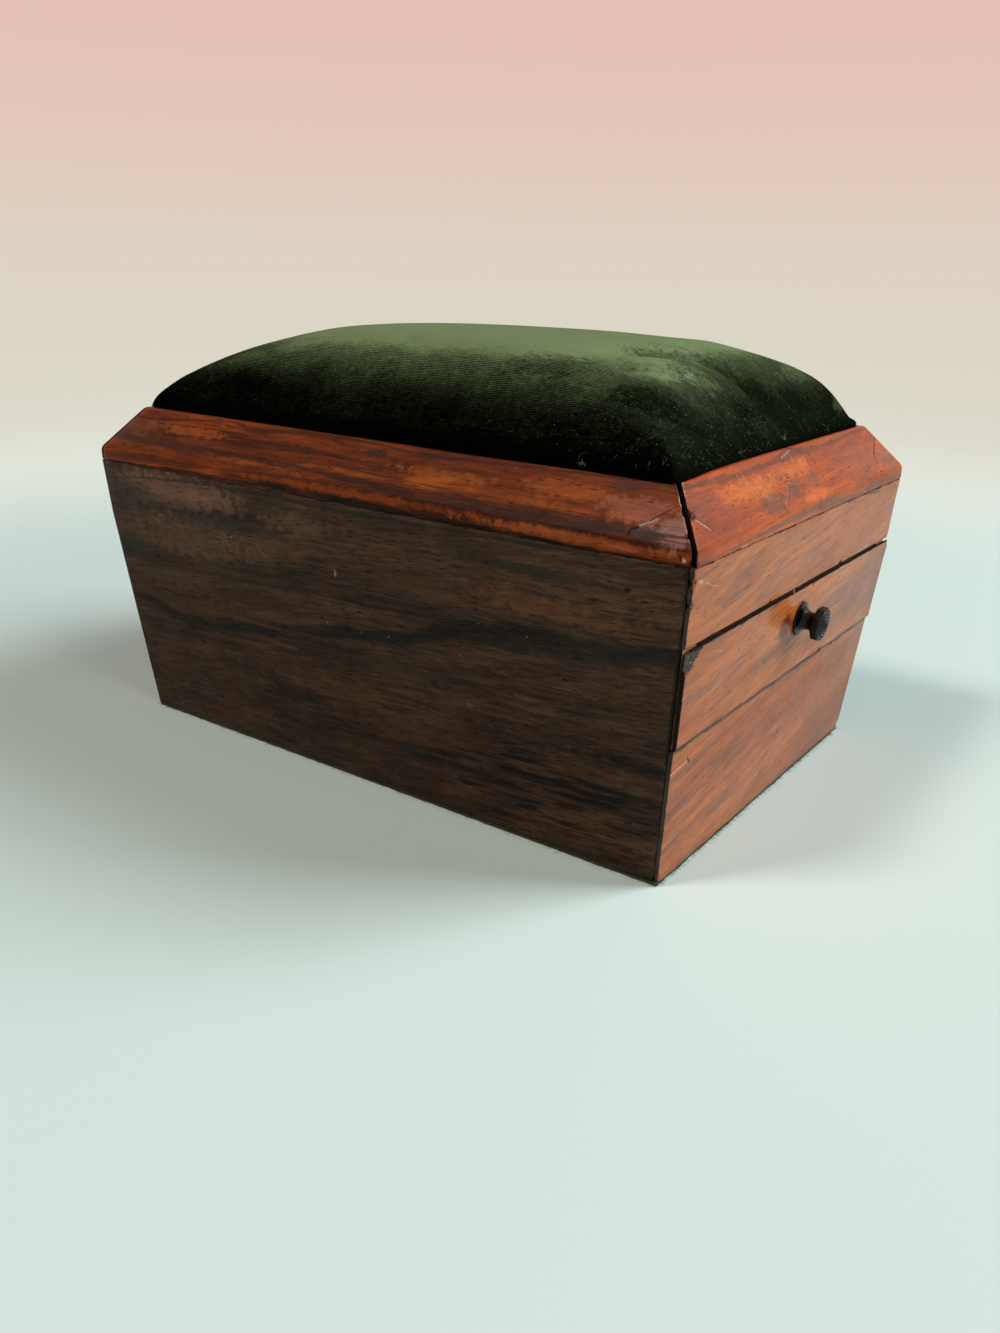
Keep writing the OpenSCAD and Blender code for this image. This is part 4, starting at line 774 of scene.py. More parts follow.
    bump = addNode(tree, "ShaderNodeBump", {"Height": lift, "Strength": 0.5, "Distance": 0.0006})
    tree.links.new(colour, surface.inputs["Base Color"])
    tree.links.new(roughness, surface.inputs["Roughness"])
    tree.links.new(bump.outputs[0], surface.inputs["Normal"])
    if wood["coat"]:
        coat = mapRange(tree, noiseNode(tree, place, 0.05, 5, 0.65), 0.3, 0.65, wood["coat"], wood["coat"] * 0.8)
        coat = mathNode(tree, "MULTIPLY", coat, mathNode(tree, "SUBTRACT", 1.0, mathNode(tree, "MULTIPLY", grain["Pore Mask"], 0.6)))
        tree.links.new(mathNode(tree, "MULTIPLY", coat, gloss), surface.inputs["Coat Weight"])
    surface.inputs["Coat Roughness"].default_value = 0.11
    surface.inputs["Coat IOR"].default_value = 1.5
    surface.inputs["Specular IOR Level"].default_value = wood["gloss"]
    return material


# Near black for the faces inside the gaps and mitres: dust, and painted shade where little light gets in
def makeGapDustAndShade():
    material, tree, surface = newMaterial("oldGrime")
    place = vectorNode(tree, "MULTIPLY", addNode(tree, "ShaderNodeTexCoord").outputs["Object"], (1000, 1000, 1000))
    crust = noiseNode(tree, place, 1.4, 5, 0.7)
    colour = mixColours(tree, mapRange(tree, crust, 0.45, 0.75), (0.004, 0.003, 0.003), (0.030, 0.018, 0.012))
    tree.links.new(colour, surface.inputs["Base Color"])
    bump = addNode(tree, "ShaderNodeBump", {"Height": crust, "Strength": 0.6, "Distance": 0.0002})
    tree.links.new(bump.outputs[0], surface.inputs["Normal"])
    surface.inputs["Roughness"].default_value = 0.9
    surface.inputs["Specular IOR Level"].default_value = 0.1
    return material


# Velvet cushion

cushion = {
    "cells": (92, 64),  # grid cells along and across
    "crowding": 1.5,  # how much the grid tightens towards the edge
    "flankShare": 0.1606,  # of the rise above the rim
    "shoulder": 60, "fullness": 6.05, "fall": 1.4,
    "crownSquareness": 2.4, "edgeSquareness": 90, "squaring": 15,
    "drawnIn": 0.5,  # mm
    "thickness": 1.0,  # mm
    "hem": 9,  # mm
    "skirt": (3, 6, 9, 7.9),  # drops in mm down to the hem
}
# How far the cloth swells out over the rim, in mm, by the place along each side in mm
overhangs = {
    (0, -1): [(-80, 0.4), (-60, 1.2), (-47, 1.6), (-25, 1.8), (13, 2.2), (30, 2.5), (60, 2.5), (80, 2.8)],
    (0, 1): [(-80, 0.8), (80, 0.8)],
    (1, 0): [(-52, 2.4), (-38, 1.6), (-21, 0.6), (0, 0.2), (52, 0.2)],
    (-1, 0): [(-52, 0.9), (0, 1.1), (52, 0.8)],
}
overhangHeight = 9  # mm over which it draws back in
rimShape = {"land": 0.8, "topRadius": 1.5, "fall": 1.2, "clear": 0.25}  # mm, and mm down for each mm out
# Folds: points in mm, height in mm (a valley is below 0) and half width in mm
folds = [
    ([(46, -19, 107), (49.2, -13.3, 106.9), (52, -7.6, 106.5), (55.6, -1.6, 105.8), (59.1, 2.8, 104.4), (62.5, 5.8, 102.7), (65.6, 6.4, 101),
      (67.9, 5.8, 99.4), (73, 5, 96), (77, 8, 91)], -1.5, 5.0),
    ([(54, -22, 105), (58.7, -17.5, 104.2), (62.1, -14, 102.7), (65.8, -11.3, 100.9), (68.7, -10.9, 98.8), (71.8, -13, 96.3), (77, -24.2, 91.4)], 1.0, 5.0),
    ([(62, 18, 104), (70, 21, 100), (76, 23, 95)], -0.7, 4.5),
    ([(-46, -30, 107), (-56, -36, 104), (-68, -42, 97)], -0.5, 6.0),
    ([(48, 28, 106), (60, 36, 103), (69, 40, 98.5)], 1.5, 11.0),
    ([(79, 40, 91.5), (79, 52, 90.5)], -1.3, 5.5),
]
padHalf = Vector((velvetBox[1].x, velvetBox[1].y))
crownRise = velvetBox[1].z - rimTop


def cushionRise(share):
    flank = cushion["flankShare"] * math.sqrt(max(0.0, 1 - share ** cushion["shoulder"]))
    crown = (1 - cushion["flankShare"]) * (1 - share ** cushion["fullness"]) ** cushion["fall"]
    return crownRise * (flank + crown)


def cushionPoint(u, v):
    ring = max(abs(u), abs(v))
    if ring < 1e-9:
        return Vector((0, 0, rimTop + crownRise))
    share = 1 - (1 - ring) ** cushion["crowding"]
    heading = math.atan2(v, u)
    squareness = cushion["crownSquareness"] + (cushion["edgeSquareness"] - cushion["crownSquareness"]) * share ** cushion["squaring"]
    reach = (abs(math.cos(heading)) ** squareness + abs(math.sin(heading)) ** squareness) ** (-1 / squareness)
    pulled = 1 - cushion["drawnIn"] * mm / padHalf.y * math.cos(2 * heading) ** 2 * min(1.0, (1 - share) * 40)
    return Vector((padHalf.x * share * reach * math.cos(heading) * pulled,
                   padHalf.y * share * reach * math.sin(heading) * pulled, rimTop + cushionRise(share)))


def alongSide(points, place):
    for (start, first), (end, second) in zip(points, points[1:]):
        if place <= end:
            return first + (second - first) * max(0.0, (place - start) / (end - start))
    return points[-1][1]


def overhang(point):
    # the swell in metres along X and along Y, full at the pad's edge and none within it
    swell = []
    for axis in range(2):
        side = math.copysign(1, point[axis])
        key = (int(side), 0) if axis == 0 else (0, int(side))
        near = max(0.0, min(1.0, (abs(point[axis]) / padHalf[axis] - 0.88) / 0.10))
        swell.append(side * near * near * alongSide(overhangs[key], point[1 - axis] / mm) * mm)
    return Vector((*swell, 0))


def rimDrop(reach):
    # how far the rim's top has fallen away this far out from its inner arris, in metres
    out = max(0.0, reach - rimShape["land"] * mm)
    radius = rimShape["topRadius"] * mm
    bend = radius * 0.77
    if out < bend:
        return radius - math.sqrt(radius * radius - out * out)
    return radius * 0.36 + (out - bend) * rimShape["fall"]


def clothPlace(point):
    # the run of cloth from the middle of the crown, over the shoulder and down the flank
    drop = max(0.0, rimTop + crownRise * 0.96 - point.z)
    run = []
    for axis in range(2):
        near = max(0.0, min(1.0, (abs(point[axis]) / padHalf[axis] - 0.72) / 0.28))
        run.append(math.copysign(abs(point[axis]) + drop * near, point[axis]))
    return run


def foldLift(point):
    lift = 0.0
    for points, height, half in folds:
        line = [Vector(p) * mm for p in points]
        pairs = [(a, b - a, (b - a).length_squared) for a, b in zip(line, line[1:])]
        away = distanceToEdge(point, pairs) / (half * mm)
        lift += height * mm * math.exp(-away * away * 1.5)
    return lift


def makeCushion(shader):
    columns, rows = cushion["cells"]
    bm = bmesh.new()
    bmesh.ops.create_grid(bm, x_segments=columns, y_segments=rows, size=1)
    for vert in bm.verts:
        vert.co = cushionPoint(vert.co.x, vert.co.y)
    boundary = [e for e in bm.edges if e.is_boundary]
    edgePlaces = {}
    for vert in bm.verts:
        rise = vert.co.z - rimTop
        swell = overhang(vert.co)
        if vert.is_boundary:
            reach = swell.length
            edgePlaces[vert] = vert.co.copy()
            vert.co += swell * (1 + 0.3 * mm / max(reach, 0.3 * mm))
            vert.co.z = rimTop + rimShape["clear"] * mm - rimDrop(max(abs(swell.x), abs(swell.y)))
        elif rise < overhangHeight * mm:
            share = 1 - rise / (overhangHeight * mm)
            vert.co += swell * share * share * (3 - 2 * share)
    boundary, turned = extrudeEdge(bm, boundary, True)
    for vert, source in turned.items():
        vert.co = edgePlaces[source] * 0.5 + source.co * 0.5
        vert.co.z = max(rimTop + 0.22 * mm, source.co.z)
    places = {vert: edgePlaces[source] for vert, source in turned.items()}
    boundary, turned = extrudeEdge(bm, boundary, True)
    for vert, source in turned.items():
        vert.co = places[source]
        vert.co.z = rimTop + 0.1 * mm
    depth = 0.0
    for drop in cushion["skirt"]:
        boundary = extrudeEdge(bm, boundary)
        depth += drop * mm
        for vert in {v for e in boundary for v in e.verts}:
            vert.co.z = max(velvetBox[0].z, rimTop - depth)
    boundary = extrudeEdge(bm, boundary)
    for vert in {v for e in boundary for v in e.verts}:
        for axis in range(2):
            vert.co[axis] -= math.copysign(min(abs(vert.co[axis]), cushion["hem"] * mm), vert.co[axis])
    bmesh.ops.recalc_face_normals(bm, faces=bm.faces[:])
    if sum(f.normal.z for f in bm.faces if f.calc_center_median().z > rimTop + 8 * mm) < 0:
        bmesh.ops.reverse_faces(bm, faces=bm.faces[:])
    bm.normal_update()
    for vert in bm.verts:
        if vert.co.z > rimTop + 2 * mm:
            vert.co += vert.normal * foldLift(vert.co)
    uvLayer = bm.loops.layers.uv.new("cloth")
    for face in bm.faces:
        for loop in face.loops:
            loop[uvLayer].uv = clothPlace(loop.vert.co)
    bmesh.ops.remove_doubles(bm, verts=bm.verts[:], dist=0.001 * mm)
    piece = meshObject("velvet_cushion", bm, smooth=True)
    settleCloth(piece, [v.index for v in piece.data.vertices if v.co.z < rimTop + 0.7 * mm])
    solid = bmesh.new()
    solid.from_mesh(piece.data)
    bmesh.ops.solidify(solid, geom=solid.faces[:], thickness=cushion["thickness"] * mm)
    solid.to_mesh(piece.data)
    solid.free()
    piece.data.materials.append(shader)
    subdivide(piece, 1)
    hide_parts("velvet_cover")
    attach(piece, "carcass")
    return piece


def extrudeEdge(bm, boundary, paired=False):
    # the new outer edges, and with paired the new points with the points they came from
    before = {v for e in boundary for v in e.verts}
    made = bmesh.ops.extrude_edge_only(bm, edges=boundary)["geom"]
    edges = [g for g in made if isinstance(g, bmesh.types.BMEdge) and g.is_boundary]
    if not paired:
        return edges
    sources = {}
    for vert in {v for e in edges for v in e.verts}:
        for edge in vert.link_edges:
            if edge.other_vert(vert) in before:
                sources[vert] = edge.other_vert(vert)
    return edges, sources


# weight of each corner of the mesh in kilograms, share that the cloth is cut larger, furthest move in mm
clothRun = {"frames": 20, "pressure": 4.0, "weight": 0.0004, "growth": 0.003, "cap": 0.5}


def settleCloth(piece, held):
    start = [v.co.copy() for v in piece.data.vertices]
    group = piece.vertex_groups.new(name="held")
    group.add(held, 1.0, "REPLACE")
    modifier = piece.modifiers.new("cloth", "CLOTH")
    settings = modifier.settings
    settings.vertex_group_mass = "held"
    settings.use_pressure = True
    settings.uniform_pressure_force = clothRun["pressure"]
    settings.mass = clothRun["weight"]
    settings.shrink_min = -clothRun["growth"]
    settings.shrink_max = -clothRun["growth"]
    settings.effector_weights.gravity = 0
    settings.quality = 6
    modifier.point_cache.frame_start = 1
    modifier.point_cache.frame_end = clothRun["frames"]
    scene = bpy.context.scene
    for number in range(1, clothRun["frames"] + 1):
        scene.frame_set(number)
    shaped = piece.evaluated_get(bpy.context.evaluated_depsgraph_get())
    places = [v.co.copy() for v in shaped.data.vertices]
    piece.modifiers.remove(modifier)
    piece.vertex_groups.remove(group)
    scene.frame_set(1)
    middle = Vector((0, 0, 0))
    free = set(range(len(start))) - set(held)
    swell = sum((places[i] - start[i]).length for i in free) / len(free)
    for index, vert in enumerate(piece.data.vertices):
        move = places[index] - start[index]
        if index in free and move.length > clothRun["cap"] * mm:
            move *= clothRun["cap"] * mm / move.length
        vert.co = start[index] + move
    print("cloth settled, mean move", round(swell / mm, 2), "mm")


def subdivide(piece, levels):
    modifier = piece.modifiers.new("subdivision", "SUBSURF")
    modifier.levels = levels
    modifier.render_levels = levels


velvet = {
    "hollow": (0.0003, 0.0005, 0.0005),  # between the tufts, and painted shade on the flanks, where the pile points at you
    "pile": (0.185, 0.242, 0.108),  # along the pile, on the crown, with painted light: lit from above and seen in sheen
    "crestDustAndSheen": (0.20, 0.230, 0.120),  # dusty, with a painted sheen, at the very top
    # painted light and shade by height, bright crown and near-black flanks: height in mm and the root of the tone
    # there, for the sides and for the drawer end
    "sideTones": [(86, 0.03), (90, 0.05), (93, 0.11), (95.7, 0.24), (97.4, 0.33), (99, 0.41), (101, 0.48), (102.4, 0.60), (104, 0.68),
                  (106, 0.80), (107.2, 0.88), (108.6, 1.0), (112, 1.0)],
    "endTones": [(86, 0.12), (90, 0.14), (93, 0.19), (96, 0.27), (98, 0.38), (100, 0.46), (102, 0.53), (104, 0.58), (106, 0.66),
                 (107.4, 0.84), (108.6, 1.0), (112, 1.0)],
    "rib": 0.69,  # mm from one rib to the next
    # painted light on the fold ridges and painted shade in the fold valleys, with pile brushed one way or the other:
    # centre and size in mm, and the mm of height that it looks higher or lower
    "foldShadeAndBrushedPile": [((39, -35, 104.5), (13, 8, 5), -3.4), ((47, -5, 107.5), (16, 13, 6), -2.2), ((52, -13, 106.5), (6, 6, 4), -1.5),
                ((58, -20, 103.5), (9, 8, 5), 4.5), ((64.5, -15, 101.3), (6.5, 6.5, 5), 5.0), ((60, -27, 103), (7, 5, 4), 2.0),
                ((66, -39, 99.5), (11, 7, 6), -5.0), ((62, 3, 103), (7, 6, 5), -4.0), ((68, 9, 99), (6, 6, 6), -4.5), ((74, -17, 94.5), (5, 6, 4), 2.0),
                ((76, -5, 92.5), (4, 5, 4), 3.0), ((66.5, 34, 100.3), (6, 8, 4), 3.6), ((72, 21, 96), (5, 6, 5), -2.0), ((76, 45, 93), (4, 5, 3.5), 7.0),
                ((-51, -41, 101.3), (10, 5, 4), 2.4), ((-45, -47, 96.3), (16, 5, 3.5), -2.2), ((20, -42, 100), (22, 6, 4), 1.2)],
}


def toneCurve(tree, level, points):
    low, high = points[0][0], points[-1][0]
    root = curveNode(tree, mapRange(tree, level, low, high), [((z - low) / (high - low), tone) for z, tone in points])
    return mathNode(tree, "POWER", mathNode(tree, "MAXIMUM", root, 0.0), 2.0)


def makeVelvet(groups):
    material, tree, surface = newMaterial("greenVelvet")
    cloth = addNode(tree, "ShaderNodeSeparateXYZ", {0: addNode(tree, "ShaderNodeUVMap", uv_map="cloth").outputs[0]}).outputs
    texture = addNode(tree, "ShaderNodeTexCoord").outputs
    place = vectorNode(tree, "MULTIPLY", texture["Object"], (1000, 1000, 1000))
    height = addNode(tree, "ShaderNodeSeparateXYZ", {0: place}).outputs[2]
    flat = vectorNode(tree, "MULTIPLY", addNode(tree, "ShaderNodeCombineXYZ", {0: cloth[0], 1: cloth[1]}).outputs[0], (1000, 1000, 1000))
    sway = mathNode(tree, "MULTIPLY", mathNode(tree, "SUBTRACT", noiseNode(tree, place, 0.12, 3, 0.6), 0.5), 1.0)
    across = mathNode(tree, "ADD", addNode(tree, "ShaderNodeSeparateXYZ", {0: flat}).outputs[1], sway)
    rib = mapRange(tree, mathNode(tree, "SINE", mathNode(tree, "MULTIPLY", across, math.tau / velvet["rib"])), -1, 1)
    fine = noiseNode(tree, place, 1.6, 3, 0.75)
    coarse = noiseNode(tree, place, 0.5, 4, 0.75)
    streaks = noiseNode(tree, vectorNode(tree, "MULTIPLY", flat, (0.10, 1.3, 1.0)), 1.0, 4, 0.65)
    crushed = noiseNode(tree, place, 0.07, 5, 0.68)
    facing = addNode(tree, "ShaderNodeSeparateXYZ", {0: texture["Normal"]}).outputs
    # ribs show across the middle heights only, where rib light and shade are painted
    ribShow = mathNode(tree, "MULTIPLY", mapRange(tree, height, 91, 96, smooth=True), mapRange(tree, height, 108, 104.5, smooth=True))
    ribShow = mathNode(tree, "MULTIPLY", ribShow, mapRange(tree, noiseNode(tree, place, 0.06, 3, 0.6), 0.34, 0.50, 0.35, 1.0))
    ribDipAndShade = mathNode(tree, "MULTIPLY", rib, ribShow)
    # cloth facing up is painted lighter, as if lit from above
    level = mathNode(tree, "ADD", height, mathNode(tree, "MULTIPLY", mathNode(tree, "SUBTRACT", facing[2], 0.75), 4.0))
    for value, amount in ((crushed, 9.0), (streaks, 4.5), (coarse, 10.0), (fine, 14.0)):
        level = mathNode(tree, "ADD", level, mathNode(tree, "MULTIPLY", mathNode(tree, "SUBTRACT", value, 0.5), amount))
    # painted shade in the rib grooves, lighter rib tips
    level = mathNode(tree, "SUBTRACT", level, mathNode(tree, "MULTIPLY", mathNode(tree, "SUBTRACT", ribDipAndShade, 0.2), 8.5))
    # painted light and shade on the folds, with pile brushed one way or the other
    for centre, size, amount in velvet["foldShadeAndBrushedPile"]:
        mask = groupNode(tree, groups["spot"], {"Vector": place, "Centre": centre, "Size": size, "Ragged": 0.8}).outputs[0]
        level = mathNode(tree, "ADD", level, mathNode(tree, "MULTIPLY", mask, amount))
    # the drawer end gets a painted tone curve of its own, set against the window lamp that lights that end strongly
    onEnd = mapRange(tree, facing[0], 0.15, 0.5, smooth=True)
    sideTone = mathNode(tree, "MULTIPLY", toneCurve(tree, level, velvet["sideTones"]), mathNode(tree, "SUBTRACT", 1.0, onEnd))
    tone = mathNode(tree, "ADD", sideTone, mathNode(tree, "MULTIPLY", toneCurve(tree, level, velvet["endTones"]), onEnd))
    # low tone gives the painted shade of the flanks, high tone the painted light of the crown
    colour = mixColours(tree, tone, velvet["hollow"], velvet["pile"])
    # painted sheen, with dust, on the very top of the crown
    colour = mixColours(tree, mapRange(tree, level, 109, 114, 0, 0.75, smooth=True), colour, velvet["crestDustAndSheen"])
    lift = mathNode(tree, "ADD", mathNode(tree, "MULTIPLY", ribDipAndShade, -0.8), mathNode(tree, "MULTIPLY", fine, 1.0))
    lift = mathNode(tree, "ADD", lift, mathNode(tree, "MULTIPLY", streaks, 0.5))
    bump = addNode(tree, "ShaderNodeBump", {"Height": lift, "Strength": 0.7, "Distance": 0.00035}).outputs[0]
    tree.links.new(colour, surface.inputs["Base Color"])
    tree.links.new(bump, surface.inputs["Normal"])
    surface.inputs["Roughness"].default_value = 0.95
    surface.inputs["Specular IOR Level"].default_value = 0.0
    surface.inputs["Sheen Weight"].default_value = 0.015
    surface.inputs["Sheen Roughness"].default_value = 0.3
    surface.inputs["Sheen Tint"].default_value = (0.42, 0.56, 0.30, 1)
    return material


# Small strands: lint on the velvet and fuzz at the baize's edge, three-sided and bent

def addStrand(bm, start, direction, bend, length, thickness, steps=3):
    direction = direction.normalized()
    side = direction.cross(Vector((0.3, 0.5, 0.8))).normalized()
    rings = []
    for k in range(steps + 1):
        share = k / steps
        centre = start + direction * length * share + bend * length * share * share
        radius = thickness / 2 * (1 - 0.7 * share)
        turned = side.cross(direction)
        rings.append([bm.verts.new(centre + radius * (side * math.cos(a) + turned * math.sin(a)))
                      for a in (0, math.tau / 3, 2 * math.tau / 3)])
    for lower, upper in zip(rings, rings[1:]):
        for k in range(3):
            bm.faces.new((lower[k], lower[(k + 1) % 3], upper[(k + 1) % 3], upper[k]))
    bm.faces.new(rings[0][::-1])
    bm.faces.new(rings[-1])


lint = {
    "strands": 300, "specks": 420,
    "length": (0.4, 1.6), "thickness": (0.03, 0.07), "speck": (0.08, 0.22),  # mm
    # single threads and tufts seen on the cloth: place in mm, how many strands, length in mm
    "tufts": [((59.8, -53.6, 88.0), 26, 1.3), ((79.4, -40.8, 88.6), 16, 1.4), ((78.9, 2.6, 89.0), 9, 2.6), ((79.6, -24.0, 89.0), 10, 2.2),
              ((36.0, -53.3, 88.0), 12, 0.9), ((79.2, 28.9, 88.8), 9, 1.6), ((-12.8, -52.8, 87.8), 5, 2.0), ((79.0, -49.0, 90.5), 12, 1.8)],
}


def makeLint(velvetPiece):
    rng = random.Random(7)
    points = [(v.co.copy(), v.normal.copy()) for v in velvetPiece.data.vertices if v.co.z > rimTop + 0.6 * mm and v.normal.z > -0.1]
    outer = [(co, normal) for co, normal in points if normal.dot(co - Vector((0, 0, rimTop))) > 0]
    near = [p for p in outer if p[0].x > 48 * mm and p[0].y < 5 * mm and p[0].z < 104 * mm]
    endFlank = [p for p in outer if p[0].x > 62 * mm and p[0].z < 104 * mm]
    bm = bmesh.new()
    for k in range(lint["strands"] + lint["specks"]):
        co, normal = rng.choice(rng.choice((near, near, endFlank, endFlank, outer)))
        spot = co + normal * 0.05 * mm + Vector([rng.uniform(-0.8, 0.8) * mm for _ in range(3)]).cross(normal)
        lying = normal.cross(Vector([rng.uniform(-1, 1) for _ in range(3)]))
        if lying.length < 1e-3:
            continue
        if k < lint["strands"]:
            bend = normal.cross(lying) * rng.uniform(-0.8, 0.8) + normal * rng.uniform(-0.1, 0.35)
            addStrand(bm, spot, lying + normal * rng.uniform(0, 0.3), bend, rng.uniform(*lint["length"]) * mm,
                      rng.uniform(*lint["thickness"]) * mm)
        else:
            size = rng.uniform(*lint["speck"]) * mm
            addStrand(bm, spot, lying, Vector((0, 0, 0)), size, size, steps=1)
    for place, count, length in lint["tufts"]:
        for _ in range(count):
            start = Vector(place) * mm + Vector([rng.uniform(-0.5, 0.5) * mm for _ in range(3)])
            addStrand(bm, start, Vector([rng.uniform(-1, 1), rng.uniform(-1, 1), rng.uniform(-0.6, 1)]),
                      Vector([rng.uniform(-0.6, 0.6) for _ in range(3)]), length * rng.uniform(0.5, 1.1) * mm, 0.07 * mm)
    piece = meshObject("velvet_lint", bm)
    material, tree, surface = newMaterial("lint")
    place = vectorNode(tree, "MULTIPLY", addNode(tree, "ShaderNodeTexCoord").outputs["Object"], (1000, 1000, 1000))
    tint = mixColours(tree, mapRange(tree, noiseNode(tree, place, 0.8, 2, 0.5), 0.35, 0.65), (0.025, 0.035, 0.018), (0.24, 0.25, 0.18))
    tree.links.new(tint, surface.inputs["Base Color"])
    surface.inputs["Roughness"].default_value = 0.8
    piece.data.materials.append(material)
    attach(piece, "carcass")


# Baize under the base, with a fuzzy edge

baize = {"wave": 0.35, "tufts": 3000, "length": (0.7, 2.0), "thickness": 0.10}  # mm


def makeBaize(shader):
    rng = random.Random(19)
    low, high = baizeBox
    bm = bmesh.new()
    bmesh.ops.create_grid(bm, x_segments=110, y_segments=72, size=0.5)
    for vert in bm.verts:
        edge = max(abs(vert.co.x), abs(vert.co.y)) > 0.499
        vert.co.x *= high.x - low.x
        vert.co.y *= high.y - low.y
        if edge:
            ripple = noise.noise(vert.co * 160) + 0.6 * noise.noise(vert.co * 700)
            vert.co.x += math.copysign(baize["wave"] * mm * ripple, vert.co.x)
            vert.co.y += math.copysign(baize["wave"] * mm * ripple, vert.co.y)
        vert.co.z = 0.0
    made = bmesh.ops.extrude_face_region(bm, geom=bm.faces[:])["geom"]
    for vert in (g for g in made if isinstance(g, bmesh.types.BMVert)):
        vert.co.z = high.z
    bmesh.ops.recalc_face_normals(bm, faces=bm.faces[:])
    piece = meshObject("baize_sheet", bm, smooth=True, sharpAngle=40)
    piece.data.materials.append(shader)
    fuzz = bmesh.new()
    for k in range(baize["tufts"]):
        share = rng.uniform(0, 2 * (high.x - low.x) + 2 * (high.y - low.y))
        place, outward = edgePlace(share)
        place.z = rng.uniform(0.15, 0.95) * high.z
        direction = outward + Vector((rng.uniform(-0.9, 0.9), rng.uniform(-0.9, 0.9), rng.uniform(-0.25, 0.5)))
        addStrand(fuzz, place - outward * 0.3 * mm, direction, Vector((0, 0, rng.uniform(-0.25, 0.2))),
                  rng.uniform(*baize["length"]) * mm, baize["thickness"] * mm)
    for vert in fuzz.verts:
        vert.co.z = max(vert.co.z, 0.02 * mm)
    strands = meshObject("baize_fuzz", fuzz)
    strands.data.materials.append(shader)
    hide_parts("base_felt")
    for part in (piece, strands):
        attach(part, "carcass")


def edgePlace(share):
    # a point on the baize's outline and the way out of it, by the run around the edge
    low, high = baizeBox
    long, wide = high.x - low.x, high.y - low.y
    for run, start, along, outward in ((long, (low.x, low.y), (1, 0), (0, -1)), (wide, (high.x, low.y), (0, 1), (1, 0)),
                                       (long, (high.x, high.y), (-1, 0), (0, 1)), (wide, (low.x, high.y), (0, -1), (-1, 0))):
        if share <= run:
            return Vector((start[0] + along[0] * share, start[1] + along[1] * share, 0)), Vector((*outward, 0))
        share -= run
    return Vector((low.x, low.y, 0)), Vector((0, -1, 0))


def makeBaizeShader():
    material, tree, surface = newMaterial("greenBaize")
    place = vectorNode(tree, "MULTIPLY", addNode(tree, "ShaderNodeTexCoord").outputs["Object"], (1000, 1000, 1000))
    wool = noiseNode(tree, place, 1.6, 4, 0.7)
    patches = noiseNode(tree, place, 0.05, 3, 0.6)
    colour = mixColours(tree, mapRange(tree, wool, 0.3, 0.7), (0.018, 0.022, 0.010), (0.075, 0.080, 0.036))
    colour = mixColours(tree, mapRange(tree, patches, 0.45, 0.65, 0, 0.5), colour, (0.055, 0.052, 0.028))
    tree.links.new(colour, surface.inputs["Base Color"])
    bump = addNode(tree, "ShaderNodeBump", {"Height": wool, "Strength": 0.8, "Distance": 0.0004})
    tree.links.new(bump.outputs[0], surface.inputs["Normal"])
    surface.inputs["Roughness"].default_value = 0.95
    surface.inputs["Sheen Weight"].default_value = 0.15
    surface.inputs["Sheen Roughness"].default_value = 0.4
    surface.inputs["Sheen Tint"].default_value = (0.5, 0.65, 0.5, 1)
    return material


# Turned knob, on the leaning drawer face

knob = {
    "foot": (88.40, 0, 48.35),  # mm, where its axis meets the drawer's face
    "tilt": 4.97,  # degrees that the face leans out
    # radius and distance out, in mm
    "profile": [(0, -6.0), (1.6, -6.0), (1.6, 0.02), (3.9, 0.02), (4.08, 0.10), (4.14, 0.34), (4.08, 0.60), (3.75, 0.72), (3.3, 0.84),
                (2.9, 1.1), (2.5, 1.5), (2.25, 2.1), (2.15, 2.7), (2.2, 3.2), (2.45, 3.7), (3.0, 4.0), (3.7, 4.12), (4.05, 4.18),
                (4.15, 4.28), (4.15, 5.75), (4.10, 5.92), (3.95, 6.0), (3.72, 6.02), (3.6, 5.84), (3.42, 5.86), (3.28, 6.14),
                (2.98, 6.24), (2.86, 6.04), (2.68, 6.08), (2.54, 6.36), (2.2, 6.46), (2.08, 6.28), (1.9, 6.32), (1.76, 6.56),
                (1.4, 6.68), (1.28, 6.54), (1.1, 6.58), (0.96, 6.80), (0.5, 6.98), (0, 7.04)],
    "flats": 9, "from": 4.05,  # cut faces round the head, from this distance out
    "steps": 72,
}


def makeKnob(shader):
    bm = bmesh.new()
    verts = [bm.verts.new((radius * mm, 0, out * mm)) for radius, out in knob["profile"]]
    edges = [bm.edges.new(pair) for pair in zip(verts, verts[1:])]
    bmesh.ops.spin(bm, geom=verts + edges, cent=(0, 0, 0), axis=(0, 0, 1), angle=math.tau, steps=knob["steps"], use_merge=True)
    bmesh.ops.remove_doubles(bm, verts=bm.verts[:], dist=1e-6)
    turn = (Matrix.Translation(Vector(knob["foot"]) * mm) @ Matrix.Rotation(math.radians(90 + knob["tilt"]), 4, "Y"))
    wide = math.tau / knob["flats"]
    for vert in bm.verts:
        out, radius = vert.co.z, math.hypot(vert.co.x, vert.co.y)
        heading = math.atan2(vert.co.y, vert.co.x)
        if out > knob["from"] * mm and radius > 3.5 * mm:
            uneven = heading + 0.05 * math.sin(3 * heading + 1)
            flat = math.cos(wide / 2) / math.cos((uneven % wide) - wide / 2)
            share = min(1.0, (radius - 3.5 * mm) / (0.5 * mm))
            cut = 1 - (1 - flat) * share
            vert.co.x *= cut
            vert.co.y *= cut
        elif out > 0:
            ripple = 1 + 0.010 * noise.noise(vert.co * 600)
            vert.co.x *= ripple
            vert.co.y *= ripple
        vert.co = turn @ vert.co
    bmesh.ops.recalc_face_normals(bm, faces=bm.faces[:])
    piece = meshObject("turned_knob", bm, smooth=True, sharpAngle=24)
    piece.data.materials.append(shader)
    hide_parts("drawer_knob")
    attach(piece, "drawer")


